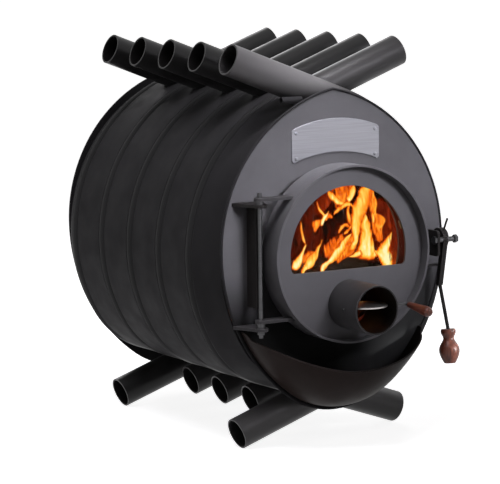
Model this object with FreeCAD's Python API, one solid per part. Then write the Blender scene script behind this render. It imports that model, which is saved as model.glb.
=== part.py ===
import FreeCAD, Part
import math
import os

# Workshop stove: a barrel of bent convection tubes with a round glazed door.
# Millimetres. While it is built, Y = 0 is the outer face of the front plate, X = 0 the plane of
# symmetry and Z = 0 the floor. The finished pieces are moved along Y so that the origin lies in the
# middle of the footprint.

# Convection tubes
TUBE_OD = 60.3
TUBE_WALL = 2.9
TUBES_PER_SIDE = 5
TUBE_GAP = 0.4
TOP_ANGLE = 20.9
LEG_ANGLE = 19.2
TOP_END_X = 205.4
LEG_END_X = 196.5
STUB_END_X = 98.0
BARREL_ARC_R = 303.0
BARREL_ARC_X = 68.0
BARREL_ARC_Z = 357.0
LEG_BEND_R = 150.0

# Shell strips between the tubes
STRIP_T = 3.0
STRIP_OFFSET = 28.0
FRONT_STRIP_OFFSET = 9.0
REAR_STRIP_OFFSET = 18.0
STRIP_END_X = 12.0
STRIP_GAP = 0.3
FRONT_HORN_X = 62.0

# End plates
PLATE_T = 4.0
PLATE_PROUD = 1.0
PLATE_WIDEST_Z = 377.0
PLATE_TOP_R = 302.0
PLATE_SIDE_R = 350.0
PLATE_BOTTOM_R = 172.0
REAR_PLATE_MARGIN = 10.0
REAR_ROOM = 12.0

# Door
DOOR_Z = 366.6
DOOR_R = 168.0
DOOR_RING_T = 4.0
DOOR_FRONT_Y = -73.0
DOOR_DEPTH = 55.0
DOOR_RECESS = 20.0
DISC_T = 4.0
COLLAR_R = 150.0
COLLAR_T = 4.0
GASKET_D = 8.4
GASKET_GAP = 0.3
SEAT_GAP = 0.05

# Window
WINDOW_R = 127.5
WINDOW_SILL_Z = 336.5
WINDOW_CORNER_R = 8.0
GLASS_LAP = 6.0
GLASS_T = 4.0
TAPE_T = 2.0
TAPE_INSET = 1.0
CLIP_LENGTH = 14.0
CLIP_WIDTH = 16.0
CLIP_T = 2.0
CLIP_LAP = 5.0
CLIP_ANGLES = (20.0, 90.0, 160.0)
SILL_CLIP_X = 78.0
SCREW_R = 2.0
SCREW_HEAD_R = 3.5
SCREW_HEAD_T = 2.5

# Air inlet and its damper
PIPE_Z = 270.7
PIPE_R = 46.5
PIPE_WALL = 3.0
PIPE_MOUTH_Y = -150.0
DAMPER_ROD_R = 3.0
DAMPER_ROD_Y = -108.0
DAMPER_PLATE_T = 2.5
DAMPER_EDGE_GAP = 1.2
DAMPER_OUT_X = 91.0
DAMPER_BEND_R = 10.0
DAMPER_REACH = 12.0
DAMPER_DROOP = 5.0
DAMPER_GRIP_L = 70.0
GRIP_THIN_R = 5.5
GRIP_THICK_R = 9.5
GRIP_END_SHARE = 0.45
ROD_TAIL = 3.0
ROD_SOCKET = 35.0
RUN_GAP = 0.05

# Hinge
HINGE_OUT = 20.0
HINGE_Y = -46.0
HINGE_ROD_R = 4.0
LUG_UPPER_Z = 465.0
LUG_LOWER_Z = 235.0
LUG_T = 6.0
LUG_ROOT_OUT = 33.0
LUG_ROOT_IN = 20.0
LUG_EYE_R = 13.0
HINGE_WEB_T = 4.0
HINGE_WEB_DEPTH = 36.0
HINGE_WEB_LOW_Z = 275.0
SPACER_R = 7.5
ARM_UPPER_Z = 477.0
ARM_LOWER_Z = 250.0
ARM_T = 6.0
ARM_WIDTH = 22.0
LIFT_GAP = 0.3
HINGE_ROD_TOP = 9.0
HINGE_ROD_TAIL = 13.0
NUT_FLATS = 13.0
NUT_H = 6.5

# Latch
LATCH_OUT = 31.0
LATCH_Y = -48.0
LATCH_Z = 375.5
LATCH_BRACKET_T = 5.0
LATCH_BRACKET_FRONT = 8.0
LATCH_BRACKET_LOW = 31.0
LATCH_BRACKET_HIGH = 18.0
LATCH_BRACKET_R = 7.0
LATCH_BOLT_R = 3.5
LATCH_NUT_FLATS = 14.0
LATCH_NUT_H = 6.5
LATCH_HEAD_H = 5.0
LATCH_SLEEVE_R = 5.0
LATCH_SLEEVE_L = 36.0
LATCH_BOLT_PAST = 2.0
LEVER_X = 10.0
LEVER_T = 10.0
LEVER_BOSS_X = 16.0
LEVER_BOSS_T = 12.0
LEVER_BOSS_R = 20.0
LEVER_BOSS_BACK = 23.5
LEVER_SPIKE_BACK = 15.0
LEVER_SPIKE_LOW = 12.0
LEVER_SPIKE_HIGH = 40.0
LEVER_SPIKE_R = 2.0
LEVER_FOOT_BACK = 16.5
LEVER_FOOT_LOW = 87.0
LEVER_BAR_ROOT_R = 6.0
LEVER_BAR_TIP_R = 4.6
LATCH_ROD_R = 3.5
LATCH_ROD_LEAN = 18.5
LATCH_ROD_L = 90.0
LATCH_GRIP_LEAN = 6.0
LATCH_GRIP_L = 66.0
LATCH_GRIP_R = 19.8
TONGUE_T = 4.0
TONGUE_DROP = 51.5
TONGUE_DEPTH = 12.0
TONGUE_GAP = 1.0
TONGUE_PAST = 2.0

# Ash lip
LIP_T = 3.0
LIP_INSET = 6.0
LIP_MID_INSET = 22.0
LIP_MID_Y = -55.0
LIP_TIP_INSET = 86.0
LIP_TIP_Y = -105.0
LIP_RIM_DIP = 10.0
LIP_EAR_Z = 215.0
LIP_EAR_Y = -20.0
LIP_EAR_R = 14.0

# Name plate
NAME_X = 6.0
NAME_TOP_Z = 617.4
NAME_LOW_Z = 553.4
NAME_TOP_HALF = 94.0
NAME_LOW_HALF = 84.0
NAME_TOP_R = 222.0
NAME_LOW_R = 228.0
NAME_CORNER_R = 8.0
NAME_T = 2.0
RIVET_R = 3.5
RIVET_H = 1.6
RIVET_INSET = 9.0

# Side socket
SOCKET_R = 7.0
SOCKET_BORE_R = 4.8
SOCKET_L = 43.0
SOCKET_X = -106.0
SOCKET_Y = 12.0
SOCKET_DROP = 41.9

# Flue
FLUE_Z = 543.0
FLUE_OD = 150.0
FLUE_WALL = 3.0
FLUE_ROOT_WALL = 5.0
FLUE_ROOT_L = 40.0
FLUE_L = 60.0
FLUE_ROD_STEP = 23.0
FLUE_OUT_X = 108.0
FLUE_REACH = 14.0
FLUE_GRIP_L = 55.0
FLUE_NOTCH_R = 18.0

# Baffle
BAFFLE_Z = 461.0
BAFFLE_T = 5.0
BAFFLE_HALF_WIDTH = 165.0
BAFFLE_FRONT_GAP = 150.0
RAIL_LEG = 20.0
RAIL_T = 4.0

# Firewood
LOG_R = 55.0
LOG_L = 400.0
LOG_FRONT_Y = 50.0
CROSS_LOG_R = 38.0
CROSS_LOG_L = 205.0
CROSS_LOG_X = 16.0
CROSS_LOG_Y = 98.0
LOG_GAP = 0.3

PLATE_HALF_WIDTH = BARREL_ARC_R - BARREL_ARC_X + FRONT_STRIP_OFFSET + PLATE_PROUD
HINGE_X = -DOOR_R - HINGE_OUT
LATCH_X = DOOR_R + LATCH_OUT
TUBE_R = TUBE_OD / 2
ROW_PITCH = TUBE_OD + TUBE_GAP
FIRST_ROW_Y = PLATE_T + TUBE_GAP + TUBE_R
LAST_ROW_Y = FIRST_ROW_Y + (2 * TUBES_PER_SIDE - 1) * ROW_PITCH
REAR_PLATE_Y = LAST_ROW_Y + TUBE_R + REAR_ROOM
REAR_FACE_Y = REAR_PLATE_Y + PLATE_T
FLUE_SHOULDER_Y = REAR_FACE_Y + FLUE_ROOT_L
FLUE_END_Y = FLUE_SHOULDER_Y + FLUE_L
FLUE_BORE_R = FLUE_OD / 2 - FLUE_WALL
FLUE_ROOT_R = FLUE_BORE_R + FLUE_ROOT_WALL
DROOP = math.radians(DAMPER_DROOP)
GRIP_END_R = GRIP_END_SHARE * GRIP_THICK_R
GRIP_TIP = (DAMPER_REACH + DAMPER_GRIP_L) * math.cos(DROOP) + GRIP_END_R * math.sin(DROOP)
GRIP_TIP_Y = DAMPER_ROD_Y - GRIP_TIP
ORIGIN_Y = (GRIP_TIP_Y + FLUE_END_Y) / 2

DISC_FRONT_Y = DOOR_FRONT_Y + DOOR_RECESS
DISC_BACK_Y = DISC_FRONT_Y + DISC_T
DOOR_BACK_Y = DOOR_FRONT_Y + DOOR_DEPTH
DOOR_INNER_R = DOOR_R - DOOR_RING_T
COLLAR_FRONT_Y = DISC_BACK_Y + GASKET_D + GASKET_GAP + SEAT_GAP
MOUTH_R = COLLAR_R - COLLAR_T
GLASS_BACK_Y = DISC_BACK_Y + TAPE_T + GLASS_T

EAST = FreeCAD.Vector(1, 0, 0)
BACK = FreeCAD.Vector(0, 1, 0)
UP = FreeCAD.Vector(0, 0, 1)


def vec(x, y, z):
    return FreeCAD.Vector(x, y, z)


def polar(centre, radius, degrees, y=0.0):
    """Point in a plane of constant Y, at an angle from +X towards +Z about centre (x, z)."""
    turn = math.radians(degrees)
    return vec(centre[0] + radius * math.cos(turn), y, centre[1] + radius * math.sin(turn))


def line(start, end):
    return Part.LineSegment(start, end).toShape()


def arc(centre, radius, start, end, y=0.0):
    """Arc in a plane of constant Y, from one angle to another in degrees."""
    middle = polar(centre, radius, (start + end) / 2, y)
    return Part.Arc(polar(centre, radius, start, y), middle, polar(centre, radius, end, y)).toShape()


def face_of(edges):
    return Part.Face(Part.Wire(Part.__sortEdges__(edges)))


def polygon_face(points):
    return Part.Face(Part.makePolygon(points + points[:1]))


def along_y(face, start, end):
    """Solid of a face drawn at Y = 0, between two values of Y."""
    solid = face.extrude(vec(0, end - start, 0))
    solid.translate(vec(0, start, 0))
    return solid


def along_x(face, start, end):
    """Solid of a face drawn at X = 0, between two values of X."""
    solid = face.extrude(vec(end - start, 0, 0))
    solid.translate(vec(start, 0, 0))
    return solid


def rod(radius, start, end):
    return Part.makeCylinder(radius, (end - start).Length, start, end - start)


def pipe_y(outer, inner, start, end, x, z):
    """Straight pipe along Y."""
    length = end - start
    body = Part.makeCylinder(outer, length, vec(x, start, z), BACK)
    return body.cut(Part.makeCylinder(inner, length, vec(x, start, z), BACK))


def block(low, high):
    size = high - low
    return Part.makeBox(size.x, size.y, size.z, low)


def mirrored(shape):
    return shape.mirror(vec(0, 0, 0), EAST)


def hex_prism(flats, height, base, axis):
    """Hexagonal prism that stands on base along axis."""
    corner = flats / math.sqrt(3)
    points = [vec(corner * math.cos(math.radians(60 * i)), corner * math.sin(math.radians(60 * i)), 0)
              for i in range(6)]
    prism = polygon_face(points).extrude(vec(0, 0, height))
    prism.Placement = FreeCAD.Placement(base, FreeCAD.Rotation(UP, axis))
    return prism


def turned(profile, base, axis):
    """Solid of revolution: profile is (distance along axis, radius) pairs joined by a smooth curve."""
    points = [vec(radius, 0, run) for run, radius in profile]
    curve = Part.BSplineCurve()
    curve.interpolate(points)
    first = vec(0, 0, profile[0][0])
    last = vec(0, 0, profile[-1][0])
    half = face_of([curve.toShape(), line(points[-1], last), line(last, first), line(first, points[0])])
    solid = half.revolve(vec(0, 0, 0), UP, 360)
    solid.Placement = FreeCAD.Placement(base, FreeCAD.Rotation(UP, axis))
    return solid


# Centreline of a left tube: straight rise to the right, barrel arc, tighter leg bend, straight leg
ARC_CENTRE = (BARREL_ARC_X, BARREL_ARC_Z)
TOP_TAN = math.tan(math.radians(TOP_ANGLE))
LEG_TAN = math.tan(math.radians(LEG_ANGLE))
LEG_COS = math.cos(math.radians(LEG_ANGLE))
LEG_LINE_Z = TUBE_R * LEG_COS + LEG_END_X * LEG_TAN
LEG_LINE_DISTANCE = (BARREL_ARC_Z - LEG_LINE_Z + BARREL_ARC_X * LEG_TAN) * LEG_COS
BEND_SINE = (LEG_LINE_DISTANCE - LEG_BEND_R) / (BARREL_ARC_R - LEG_BEND_R)
BEND_ANGLE = 180 + math.degrees(math.asin(BEND_SINE)) - LEG_ANGLE
BEND_CENTRE_POINT = polar(ARC_CENTRE, BARREL_ARC_R - LEG_BEND_R, BEND_ANGLE)
BEND_CENTRE = (BEND_CENTRE_POINT.x, BEND_CENTRE_POINT.z)


def left_line(offset, top_x, leg_x, y=0.0):
    """Edges parallel to a left tube's centreline, from its top end at top_x to its leg end at leg_x."""
    tangent = polar(ARC_CENTRE, BARREL_ARC_R + offset, 90 + TOP_ANGLE, y)
    top = vec(top_x, y, tangent.z + (top_x - tangent.x) * TOP_TAN)
    bend_end = polar(BEND_CENTRE, LEG_BEND_R + offset, 270 - LEG_ANGLE, y)
    leg = vec(leg_x, y, bend_end.z - (leg_x - bend_end.x) * LEG_TAN)
    barrel = arc(ARC_CENTRE, BARREL_ARC_R + offset, 90 + TOP_ANGLE, BEND_ANGLE, y)
    bend = arc(BEND_CENTRE, LEG_BEND_R + offset, BEND_ANGLE, 270 - LEG_ANGLE, y)
    return [line(top, tangent), barrel, bend, line(bend_end, leg)]


def row_y(row):
    """Y of a tube row, counted from 0 at the front, right and left tubes in turn."""
    return FIRST_ROW_Y + row * ROW_PITCH


def swept_tube(radius, leg_x, y):
    """Solid round bar along the centreline of a left tube."""
    path = Part.Wire(left_line(0.0, TOP_END_X, leg_x, y))
    start = path.Edges[0].valueAt(path.Edges[0].FirstParameter)
    direction = path.Edges[0].tangentAt(path.Edges[0].FirstParameter)
    circle = Part.Wire(Part.makeCircle(radius, start, direction))
    return path.makePipe(Part.Face(circle))


def left_tube(row):
    side_index = row // 2
    is_leg = side_index in (0, TUBES_PER_SIDE - 1)
    leg_x = LEG_END_X if is_leg else STUB_END_X
    bar = swept_tube(TUBE_R, leg_x, row_y(row))
    bore = swept_tube(TUBE_R - TUBE_WALL, leg_x, row_y(row))
    return bar.cut(bore)


def strip_section(offset, y):
    """Outline of a strip over the left of the barrel, in a plane of constant Y."""
    outer = left_line(offset, -STRIP_END_X, -STRIP_END_X, y)
    inner = left_line(offset - STRIP_T, -STRIP_END_X, -STRIP_END_X, y)
    ends = [line(outer[0].Vertexes[0].Point, inner[0].Vertexes[0].Point),
            line(outer[-1].Vertexes[-1].Point, inner[-1].Vertexes[-1].Point)]
    return Part.Wire(Part.__sortEdges__(outer + inner + ends))


def left_strip(start, end, start_offset, end_offset, side_rows, crossing_rows):
    """Shell strip over the left of the barrel, cut to fit the tubes beside it and those that cross it."""
    first = strip_section(start_offset, start)
    if start_offset == end_offset:
        strip = Part.Face(first).extrude(vec(0, end - start, 0))
    else:
        strip = Part.makeLoft([first, strip_section(end_offset, end)], True, True)
    for row in side_rows:
        strip = strip.cut(swept_tube(TUBE_R + STRIP_GAP, LEG_END_X, row_y(row)))
    for row in crossing_rows:
        strip = strip.cut(mirrored(swept_tube(TUBE_R + STRIP_GAP, LEG_END_X, row_y(row))))
    return max(strip.Solids, key=lambda solid: solid.Volume)


def strip_edge():
    """Distance in Y from a tube's axis to the outer edge of the strip beside it."""
    return math.sqrt((TUBE_R + STRIP_GAP) ** 2 - STRIP_OFFSET ** 2)


def barrel():
    nodes = {}
    for index in range(TUBES_PER_SIDE):
        nodes["right_tube_%d" % (index + 1)] = mirrored(left_tube(2 * index))
        nodes["left_tube_%d" % (index + 1)] = left_tube(2 * index + 1)
    edge = strip_edge()
    last_row = 2 * TUBES_PER_SIDE - 1
    horn = block(vec(-FRONT_HORN_X, PLATE_T, 0), vec(0, row_y(0), 2 * BARREL_ARC_Z))
    front = left_strip(PLATE_T, row_y(1) - edge, FRONT_STRIP_OFFSET, STRIP_OFFSET, [1], [0])
    nodes["left_strip_1"] = max(front.cut(horn).Solids, key=lambda solid: solid.Volume)
    for index in range(1, TUBES_PER_SIDE):
        rows = [2 * index - 1, 2 * index + 1]
        nodes["left_strip_%d" % (index + 1)] = left_strip(
            row_y(rows[0]) + edge, row_y(rows[1]) - edge, STRIP_OFFSET, STRIP_OFFSET, rows, [2 * index])
        nodes["right_strip_%d" % index] = mirrored(left_strip(
            row_y(rows[0] - 1) + edge, row_y(rows[1] - 1) - edge, STRIP_OFFSET, STRIP_OFFSET,
            [row - 1 for row in rows], rows[:1]))
    nodes["left_strip_%d" % (TUBES_PER_SIDE + 1)] = left_strip(
        row_y(last_row) + edge, REAR_PLATE_Y, STRIP_OFFSET, REAR_STRIP_OFFSET, [last_row], [])
    nodes["right_strip_%d" % TUBES_PER_SIDE] = mirrored(left_strip(
        row_y(last_row - 1) + edge, REAR_PLATE_Y, STRIP_OFFSET, REAR_STRIP_OFFSET, [last_row - 1], [last_row]))
    return nodes


def plate_bottom_centre():
    """Centre (x, z) of the bottom arc, which runs tangent into the side arcs."""
    side_x = PLATE_SIDE_R - PLATE_HALF_WIDTH
    drop = math.sqrt((PLATE_SIDE_R - PLATE_BOTTOM_R) ** 2 - side_x ** 2)
    return (0.0, PLATE_WIDEST_Z - drop)


def plate_outline(margin):
    """Outline of an end plate: two upper arcs that meet at a point, two side arcs, one bottom arc."""
    top_centre = (PLATE_TOP_R - PLATE_HALF_WIDTH, PLATE_WIDEST_Z)
    side_centre = (PLATE_SIDE_R - PLATE_HALF_WIDTH, PLATE_WIDEST_Z)
    bottom_centre = plate_bottom_centre()
    apex_angle = 180 - math.degrees(math.acos(top_centre[0] / (PLATE_TOP_R + margin)))
    low_angle = 180 + math.degrees(math.atan2(PLATE_WIDEST_Z - bottom_centre[1], side_centre[0]))
    left = [arc(top_centre, PLATE_TOP_R + margin, apex_angle, 180),
            arc(side_centre, PLATE_SIDE_R + margin, 180, low_angle)]
    bottom = arc(bottom_centre, PLATE_BOTTOM_R + margin, low_angle, 540 - low_angle)
    return face_of(left + [mirrored(edge) for edge in left] + [bottom])


def front_plate():
    plate = along_y(plate_outline(0.0), 0.0, PLATE_T)
    return plate.cut(Part.makeCylinder(MOUTH_R, PLATE_T, vec(0, 0, DOOR_Z), BACK))


def rear_plate():
    plate = along_y(plate_outline(REAR_PLATE_MARGIN), REAR_PLATE_Y, REAR_FACE_Y)
    return plate.cut(Part.makeCylinder(FLUE_ROOT_R + SEAT_GAP, PLATE_T, vec(0, REAR_PLATE_Y, FLUE_Z), BACK))


def lip_band(centre, outline_r, start, end):
    """Bulged wall of the ash lip along one arc of the plate's outline, between two angles in degrees."""
    root = vec(outline_r - LIP_INSET, 0, 0)
    middle = vec(outline_r - LIP_MID_INSET, LIP_MID_Y, 0)
    tip = vec(outline_r - LIP_TIP_INSET, LIP_TIP_Y, 0)
    bulge = Part.Arc(root, middle, tip).toShape().Curve
    outer = Part.Face(Part.Wire(Part.makeCircle(bulge.Radius, bulge.Center)))
    inner = Part.Face(Part.Wire(Part.makeCircle(bulge.Radius - LIP_T, bulge.Center)))
    low_r = max(0.0, bulge.Center.x)
    window = polygon_face([vec(low_r, 0, 0), vec(outline_r, 0, 0),
                           vec(outline_r, 2 * LIP_TIP_Y, 0), vec(low_r, 2 * LIP_TIP_Y, 0)])
    section = outer.cut(inner).common(window)
    section.rotate(vec(0, 0, 0), -BACK, start)
    band = section.revolve(vec(0, 0, 0), -BACK, end - start)
    band.translate(vec(centre[0], 0, centre[1]))
    return band


def lip_rim():
    """Space above the lip's rim: the rim sags from the rounded ears at the plate to the tip in front."""
    tip = vec(0, LIP_TIP_Y, plate_bottom_centre()[1] - PLATE_BOTTOM_R + LIP_TIP_INSET)
    ear = vec(0, LIP_EAR_Y, LIP_EAR_Z)
    chord = ear - tip
    across = vec(0, chord.z, -chord.y) * (1 / chord.Length)
    sag = (ear + tip) * 0.5 - across * LIP_RIM_DIP
    top = vec(0, 0, LIP_EAR_Z + LIP_EAR_R)
    round_point = vec(0, LIP_EAR_Y + LIP_EAR_R * (1 - math.sin(math.radians(45))),
                      LIP_EAR_Z + LIP_EAR_R * math.sin(math.radians(45)))
    round_end = vec(0, LIP_EAR_Y + LIP_EAR_R, top.z)
    front = vec(0, 2 * LIP_TIP_Y, tip.z)
    high = PLATE_WIDEST_Z
    side = face_of([line(top, round_end), Part.Arc(round_end, round_point, ear).toShape(),
                    Part.Arc(ear, sag, tip).toShape(), line(tip, front), line(front, vec(0, front.y, high)),
                    line(vec(0, front.y, high), vec(0, 0, high)), line(vec(0, 0, high), top)])
    return along_x(side, -PLATE_HALF_WIDTH, PLATE_HALF_WIDTH)


def ash_lip():
    """Bulged scoop that follows the lower outline of the front plate up to an ear on each side."""
    bottom = plate_bottom_centre()
    side_centre = (PLATE_HALF_WIDTH - PLATE_SIDE_R, PLATE_WIDEST_Z)
    turn = math.degrees(math.atan2(bottom[1] - side_centre[1], bottom[0] - side_centre[0]))
    right = lip_band(side_centre, PLATE_SIDE_R, turn, 0.0)
    scoop = lip_band(bottom, PLATE_BOTTOM_R, -180 - turn, turn).fuse([right, mirrored(right)])
    return scoop.cut(lip_rim()).removeSplitter()


def name_plate():
    """Arched plate with rounded corners."""
    top_z = NAME_TOP_Z - NAME_TOP_R + math.sqrt(NAME_TOP_R ** 2 - NAME_TOP_HALF ** 2)
    low_z = NAME_LOW_Z - NAME_LOW_R + math.sqrt(NAME_LOW_R ** 2 - NAME_LOW_HALF ** 2)
    corners = [vec(-NAME_TOP_HALF, 0, top_z), vec(NAME_TOP_HALF, 0, top_z),
               vec(NAME_LOW_HALF, 0, low_z), vec(-NAME_LOW_HALF, 0, low_z)]
    top = Part.Arc(corners[0], vec(0, 0, NAME_TOP_Z), corners[1]).toShape()
    low = Part.Arc(corners[2], vec(0, 0, NAME_LOW_Z), corners[3]).toShape()
    sides = [line(corners[1], corners[2]), line(corners[3], corners[0])]
    plate = along_y(face_of([top, low] + sides), -NAME_T, 0.0)
    upright = [edge for edge in plate.Edges if edge.Length < 2 * NAME_T]
    plate = plate.makeFillet(NAME_CORNER_R, upright)
    rivets = []
    for corner in corners:
        sign_x = math.copysign(1, corner.x)
        sign_z = -1 if corner.z > low_z + 1 else 1
        centre = vec(corner.x - sign_x * RIVET_INSET, -NAME_T, corner.z + sign_z * RIVET_INSET)
        ball_r = (RIVET_R ** 2 + RIVET_H ** 2) / (2 * RIVET_H)
        ball = Part.makeSphere(ball_r, centre + vec(0, ball_r - RIVET_H, 0))
        side = vec(ball_r, 0, ball_r)
        cap = block(centre - side - vec(0, RIVET_H, 0), centre + side)
        rivets.append(ball.common(cap))
    shift = vec(NAME_X, 0, 0)
    group = Part.makeCompound(rivets)
    for shape in (plate, group):
        shape.translate(shift)
    return {"name_plate": plate, "name_plate_rivets": group}


def side_socket(tube):
    """Short horizontal socket welded under the first tube, beside the front plate."""
    tube_z = left_line(0.0, -SOCKET_X, LEG_END_X)[0].Vertexes[0].Z
    start = vec(SOCKET_X, SOCKET_Y, tube_z - SOCKET_DROP)
    socket = rod(SOCKET_R, start, start + vec(SOCKET_L, 0, 0))
    socket = socket.cut(rod(SOCKET_BORE_R, start, start + vec(SOCKET_L / 2, 0, 0)))
    return max(socket.cut(tube).Solids, key=lambda solid: solid.Volume)


def bent_handle(start, out_x, reach_y, bend_r, rod_r, tip_y):
    """Rod from start along X to out_x, round a bend and on along Y to tip_y."""
    sign = math.copysign(1, reach_y)
    bend_from = vec(out_x - bend_r, start.y, start.z)
    bend_to = vec(out_x, start.y + sign * bend_r, start.z)
    diagonal = bend_r * math.sin(math.radians(45))
    middle = vec(out_x - bend_r + diagonal, start.y + sign * (bend_r - diagonal), start.z)
    path = Part.Wire([line(start, bend_from), Part.Arc(bend_from, middle, bend_to).toShape(),
                      line(bend_to, vec(out_x, tip_y, start.z))])
    return path.makePipe(Part.Face(Part.Wire(Part.makeCircle(rod_r, start, EAST))))


def handle_grip(base, axis, length, hidden_rod):
    """Tapered wooden grip, thicker and rounded at its free end."""
    profile = [(0.0, GRIP_THIN_R), (0.25 * length, 0.3 * GRIP_THICK_R + 0.7 * GRIP_THIN_R),
               (0.6 * length, 0.75 * GRIP_THICK_R + 0.25 * GRIP_THIN_R), (0.86 * length, GRIP_THICK_R),
               (0.96 * length, 0.8 * GRIP_THICK_R), (length, GRIP_END_R)]
    return turned(profile, base, axis).cut(hidden_rod)


def round_flap(radius, thickness, seat_r, centre):
    """Round plate welded on top of a rod that runs along X through centre."""
    return Part.makeCylinder(radius, thickness, centre + vec(0, 0, seat_r), UP)


def air_damper():
    centre = vec(0, DAMPER_ROD_Y, PIPE_Z)
    start = centre - vec(PIPE_R + ROD_TAIL, 0, 0)
    grip_base = vec(DAMPER_OUT_X, DAMPER_ROD_Y - DAMPER_REACH, PIPE_Z)
    tip_y = grip_base.y - ROD_SOCKET
    handle = bent_handle(start, DAMPER_OUT_X, -DAMPER_REACH, DAMPER_BEND_R, DAMPER_ROD_R, tip_y)
    grip = handle_grip(grip_base, -BACK, DAMPER_GRIP_L, handle)
    for piece in (handle, grip):
        piece.rotate(centre, EAST, DAMPER_DROOP)
    plate_r = PIPE_R - PIPE_WALL - DAMPER_EDGE_GAP
    return {
        "air_damper_plate": round_flap(plate_r, DAMPER_PLATE_T, DAMPER_ROD_R, centre),
        "air_damper_rod": handle,
        "air_damper_grip": grip,
    }


def flue():
    root = pipe_y(FLUE_ROOT_R, FLUE_BORE_R, REAR_PLATE_Y, FLUE_SHOULDER_Y, 0, FLUE_Z)
    spigot = root.fuse(pipe_y(FLUE_OD / 2, FLUE_BORE_R, FLUE_SHOULDER_Y, FLUE_END_Y, 0, FLUE_Z)).removeSplitter()
    centre = vec(0, REAR_FACE_Y + FLUE_ROD_STEP, FLUE_Z)
    start = centre - vec(FLUE_ROOT_R + ROD_TAIL, 0, 0)
    hole = rod(DAMPER_ROD_R + RUN_GAP, start - vec(ROD_TAIL, 0, 0), centre + vec(FLUE_OD, 0, 0))
    grip_base = vec(FLUE_OUT_X, centre.y + FLUE_REACH, FLUE_Z)
    tip_y = grip_base.y + ROD_SOCKET
    handle = bent_handle(start, FLUE_OUT_X, FLUE_REACH, DAMPER_BEND_R, DAMPER_ROD_R, tip_y)
    flap = round_flap(FLUE_BORE_R - DAMPER_EDGE_GAP, DAMPER_PLATE_T, DAMPER_ROD_R, centre)
    notch_centre = centre + vec(0, FLUE_BORE_R, 0)
    notch = Part.makeCylinder(FLUE_NOTCH_R, FLUE_OD, notch_centre - vec(0, 0, FLUE_OD / 2), UP)
    return {
        "flue_spigot": spigot.cut(hole),
        "flue_damper_flap": flap.cut(notch),
        "flue_damper_rod": handle,
        "flue_damper_grip": handle_grip(grip_base, BACK, FLUE_GRIP_L, handle),
    }


def baffle():
    """Steel plate over the fire, lying on two angle rails that run from end plate to end plate."""
    rails = []
    for sign in (-1, 1):
        edge = sign * BAFFLE_HALF_WIDTH
        flat = block(vec(min(edge, edge - sign * RAIL_LEG), PLATE_T, BAFFLE_Z - RAIL_T),
                     vec(max(edge, edge - sign * RAIL_LEG), REAR_PLATE_Y, BAFFLE_Z))
        web = block(vec(min(edge, edge - sign * RAIL_T), PLATE_T, BAFFLE_Z - RAIL_LEG),
                    vec(max(edge, edge - sign * RAIL_T), REAR_PLATE_Y, BAFFLE_Z - RAIL_T))
        rails.append(flat.fuse(web).removeSplitter())
    plate = block(vec(-BAFFLE_HALF_WIDTH, PLATE_T + BAFFLE_FRONT_GAP, BAFFLE_Z),
                  vec(BAFFLE_HALF_WIDTH, REAR_PLATE_Y, BAFFLE_Z + BAFFLE_T))
    return {"baffle_plate": plate, "baffle_rails": Part.makeCompound(rails)}


def firewood():
    """Two logs side by side in the trough of the tubes and a thinner one lying across them."""
    floor = LEG_LINE_Z + TUBE_R / LEG_COS
    side_x = LOG_R + LOG_GAP / 2
    side_z = floor + side_x * LEG_TAN + (LOG_R + LOG_GAP) / LEG_COS
    logs = [Part.makeCylinder(LOG_R, LOG_L, vec(sign * side_x, LOG_FRONT_Y, side_z), BACK) for sign in (-1, 1)]
    cross_z = side_z + LOG_R + LOG_GAP + CROSS_LOG_R
    middle = vec(CROSS_LOG_X, CROSS_LOG_Y, cross_z)
    half = vec(CROSS_LOG_L / 2, 0, 0)
    logs.append(rod(CROSS_LOG_R, middle - half, middle + half))
    return Part.makeCompound(logs)


def hinge():
    eye = vec(HINGE_X, HINGE_Y, 0)
    root_out = HINGE_X - LUG_ROOT_OUT
    root_in = HINGE_X + LUG_ROOT_IN
    outline = [vec(root_out, 0, 0), vec(root_in, 0, 0), eye + vec(LUG_EYE_R, 0, 0), eye - vec(LUG_EYE_R, 0, 0)]
    lug = polygon_face(outline).extrude(vec(0, 0, LUG_T))
    lug = lug.fuse(Part.makeCylinder(LUG_EYE_R, LUG_T, eye, UP)).removeSplitter()
    bracket = block(vec(HINGE_X - HINGE_WEB_T / 2, -HINGE_WEB_DEPTH, HINGE_WEB_LOW_Z),
                    vec(HINGE_X + HINGE_WEB_T / 2, 0, LUG_UPPER_Z))
    bracket = bracket.fuse(lug.translated(vec(0, 0, LUG_UPPER_Z))).removeSplitter()
    lower = lug.translated(vec(0, 0, LUG_LOWER_Z))
    rod_low = LUG_LOWER_Z - HINGE_ROD_TAIL
    rod_high = ARM_UPPER_Z + ARM_T + HINGE_ROD_TOP
    pin = rod(HINGE_ROD_R, eye + vec(0, 0, rod_low), eye + vec(0, 0, rod_high))
    clearance = rod(HINGE_ROD_R + RUN_GAP, eye + vec(0, 0, rod_low), eye + vec(0, 0, rod_high))
    spacers = []
    arms = []
    for lug_z, arm_z in ((LUG_LOWER_Z, ARM_LOWER_Z), (LUG_UPPER_Z, ARM_UPPER_Z)):
        spacer = rod(SPACER_R, eye + vec(0, 0, lug_z + LUG_T), eye + vec(0, 0, arm_z - LIFT_GAP))
        spacers.append(spacer.cut(clearance))
        arms.append(hinge_arm(arm_z).cut(clearance))
    nut = hex_prism(NUT_FLATS, NUT_H, eye + vec(0, 0, LUG_LOWER_Z - NUT_H), UP)
    return {
        "hinge_upper_bracket": bracket.cut(clearance),
        "hinge_lower_lug": lower.cut(clearance),
        "hinge_spacers": Part.makeCompound(spacers),
        "hinge_rod": pin,
        "hinge_rod_nut": nut.cut(clearance),
        "door_hinge_arms": Part.makeCompound(arms),
    }


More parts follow.
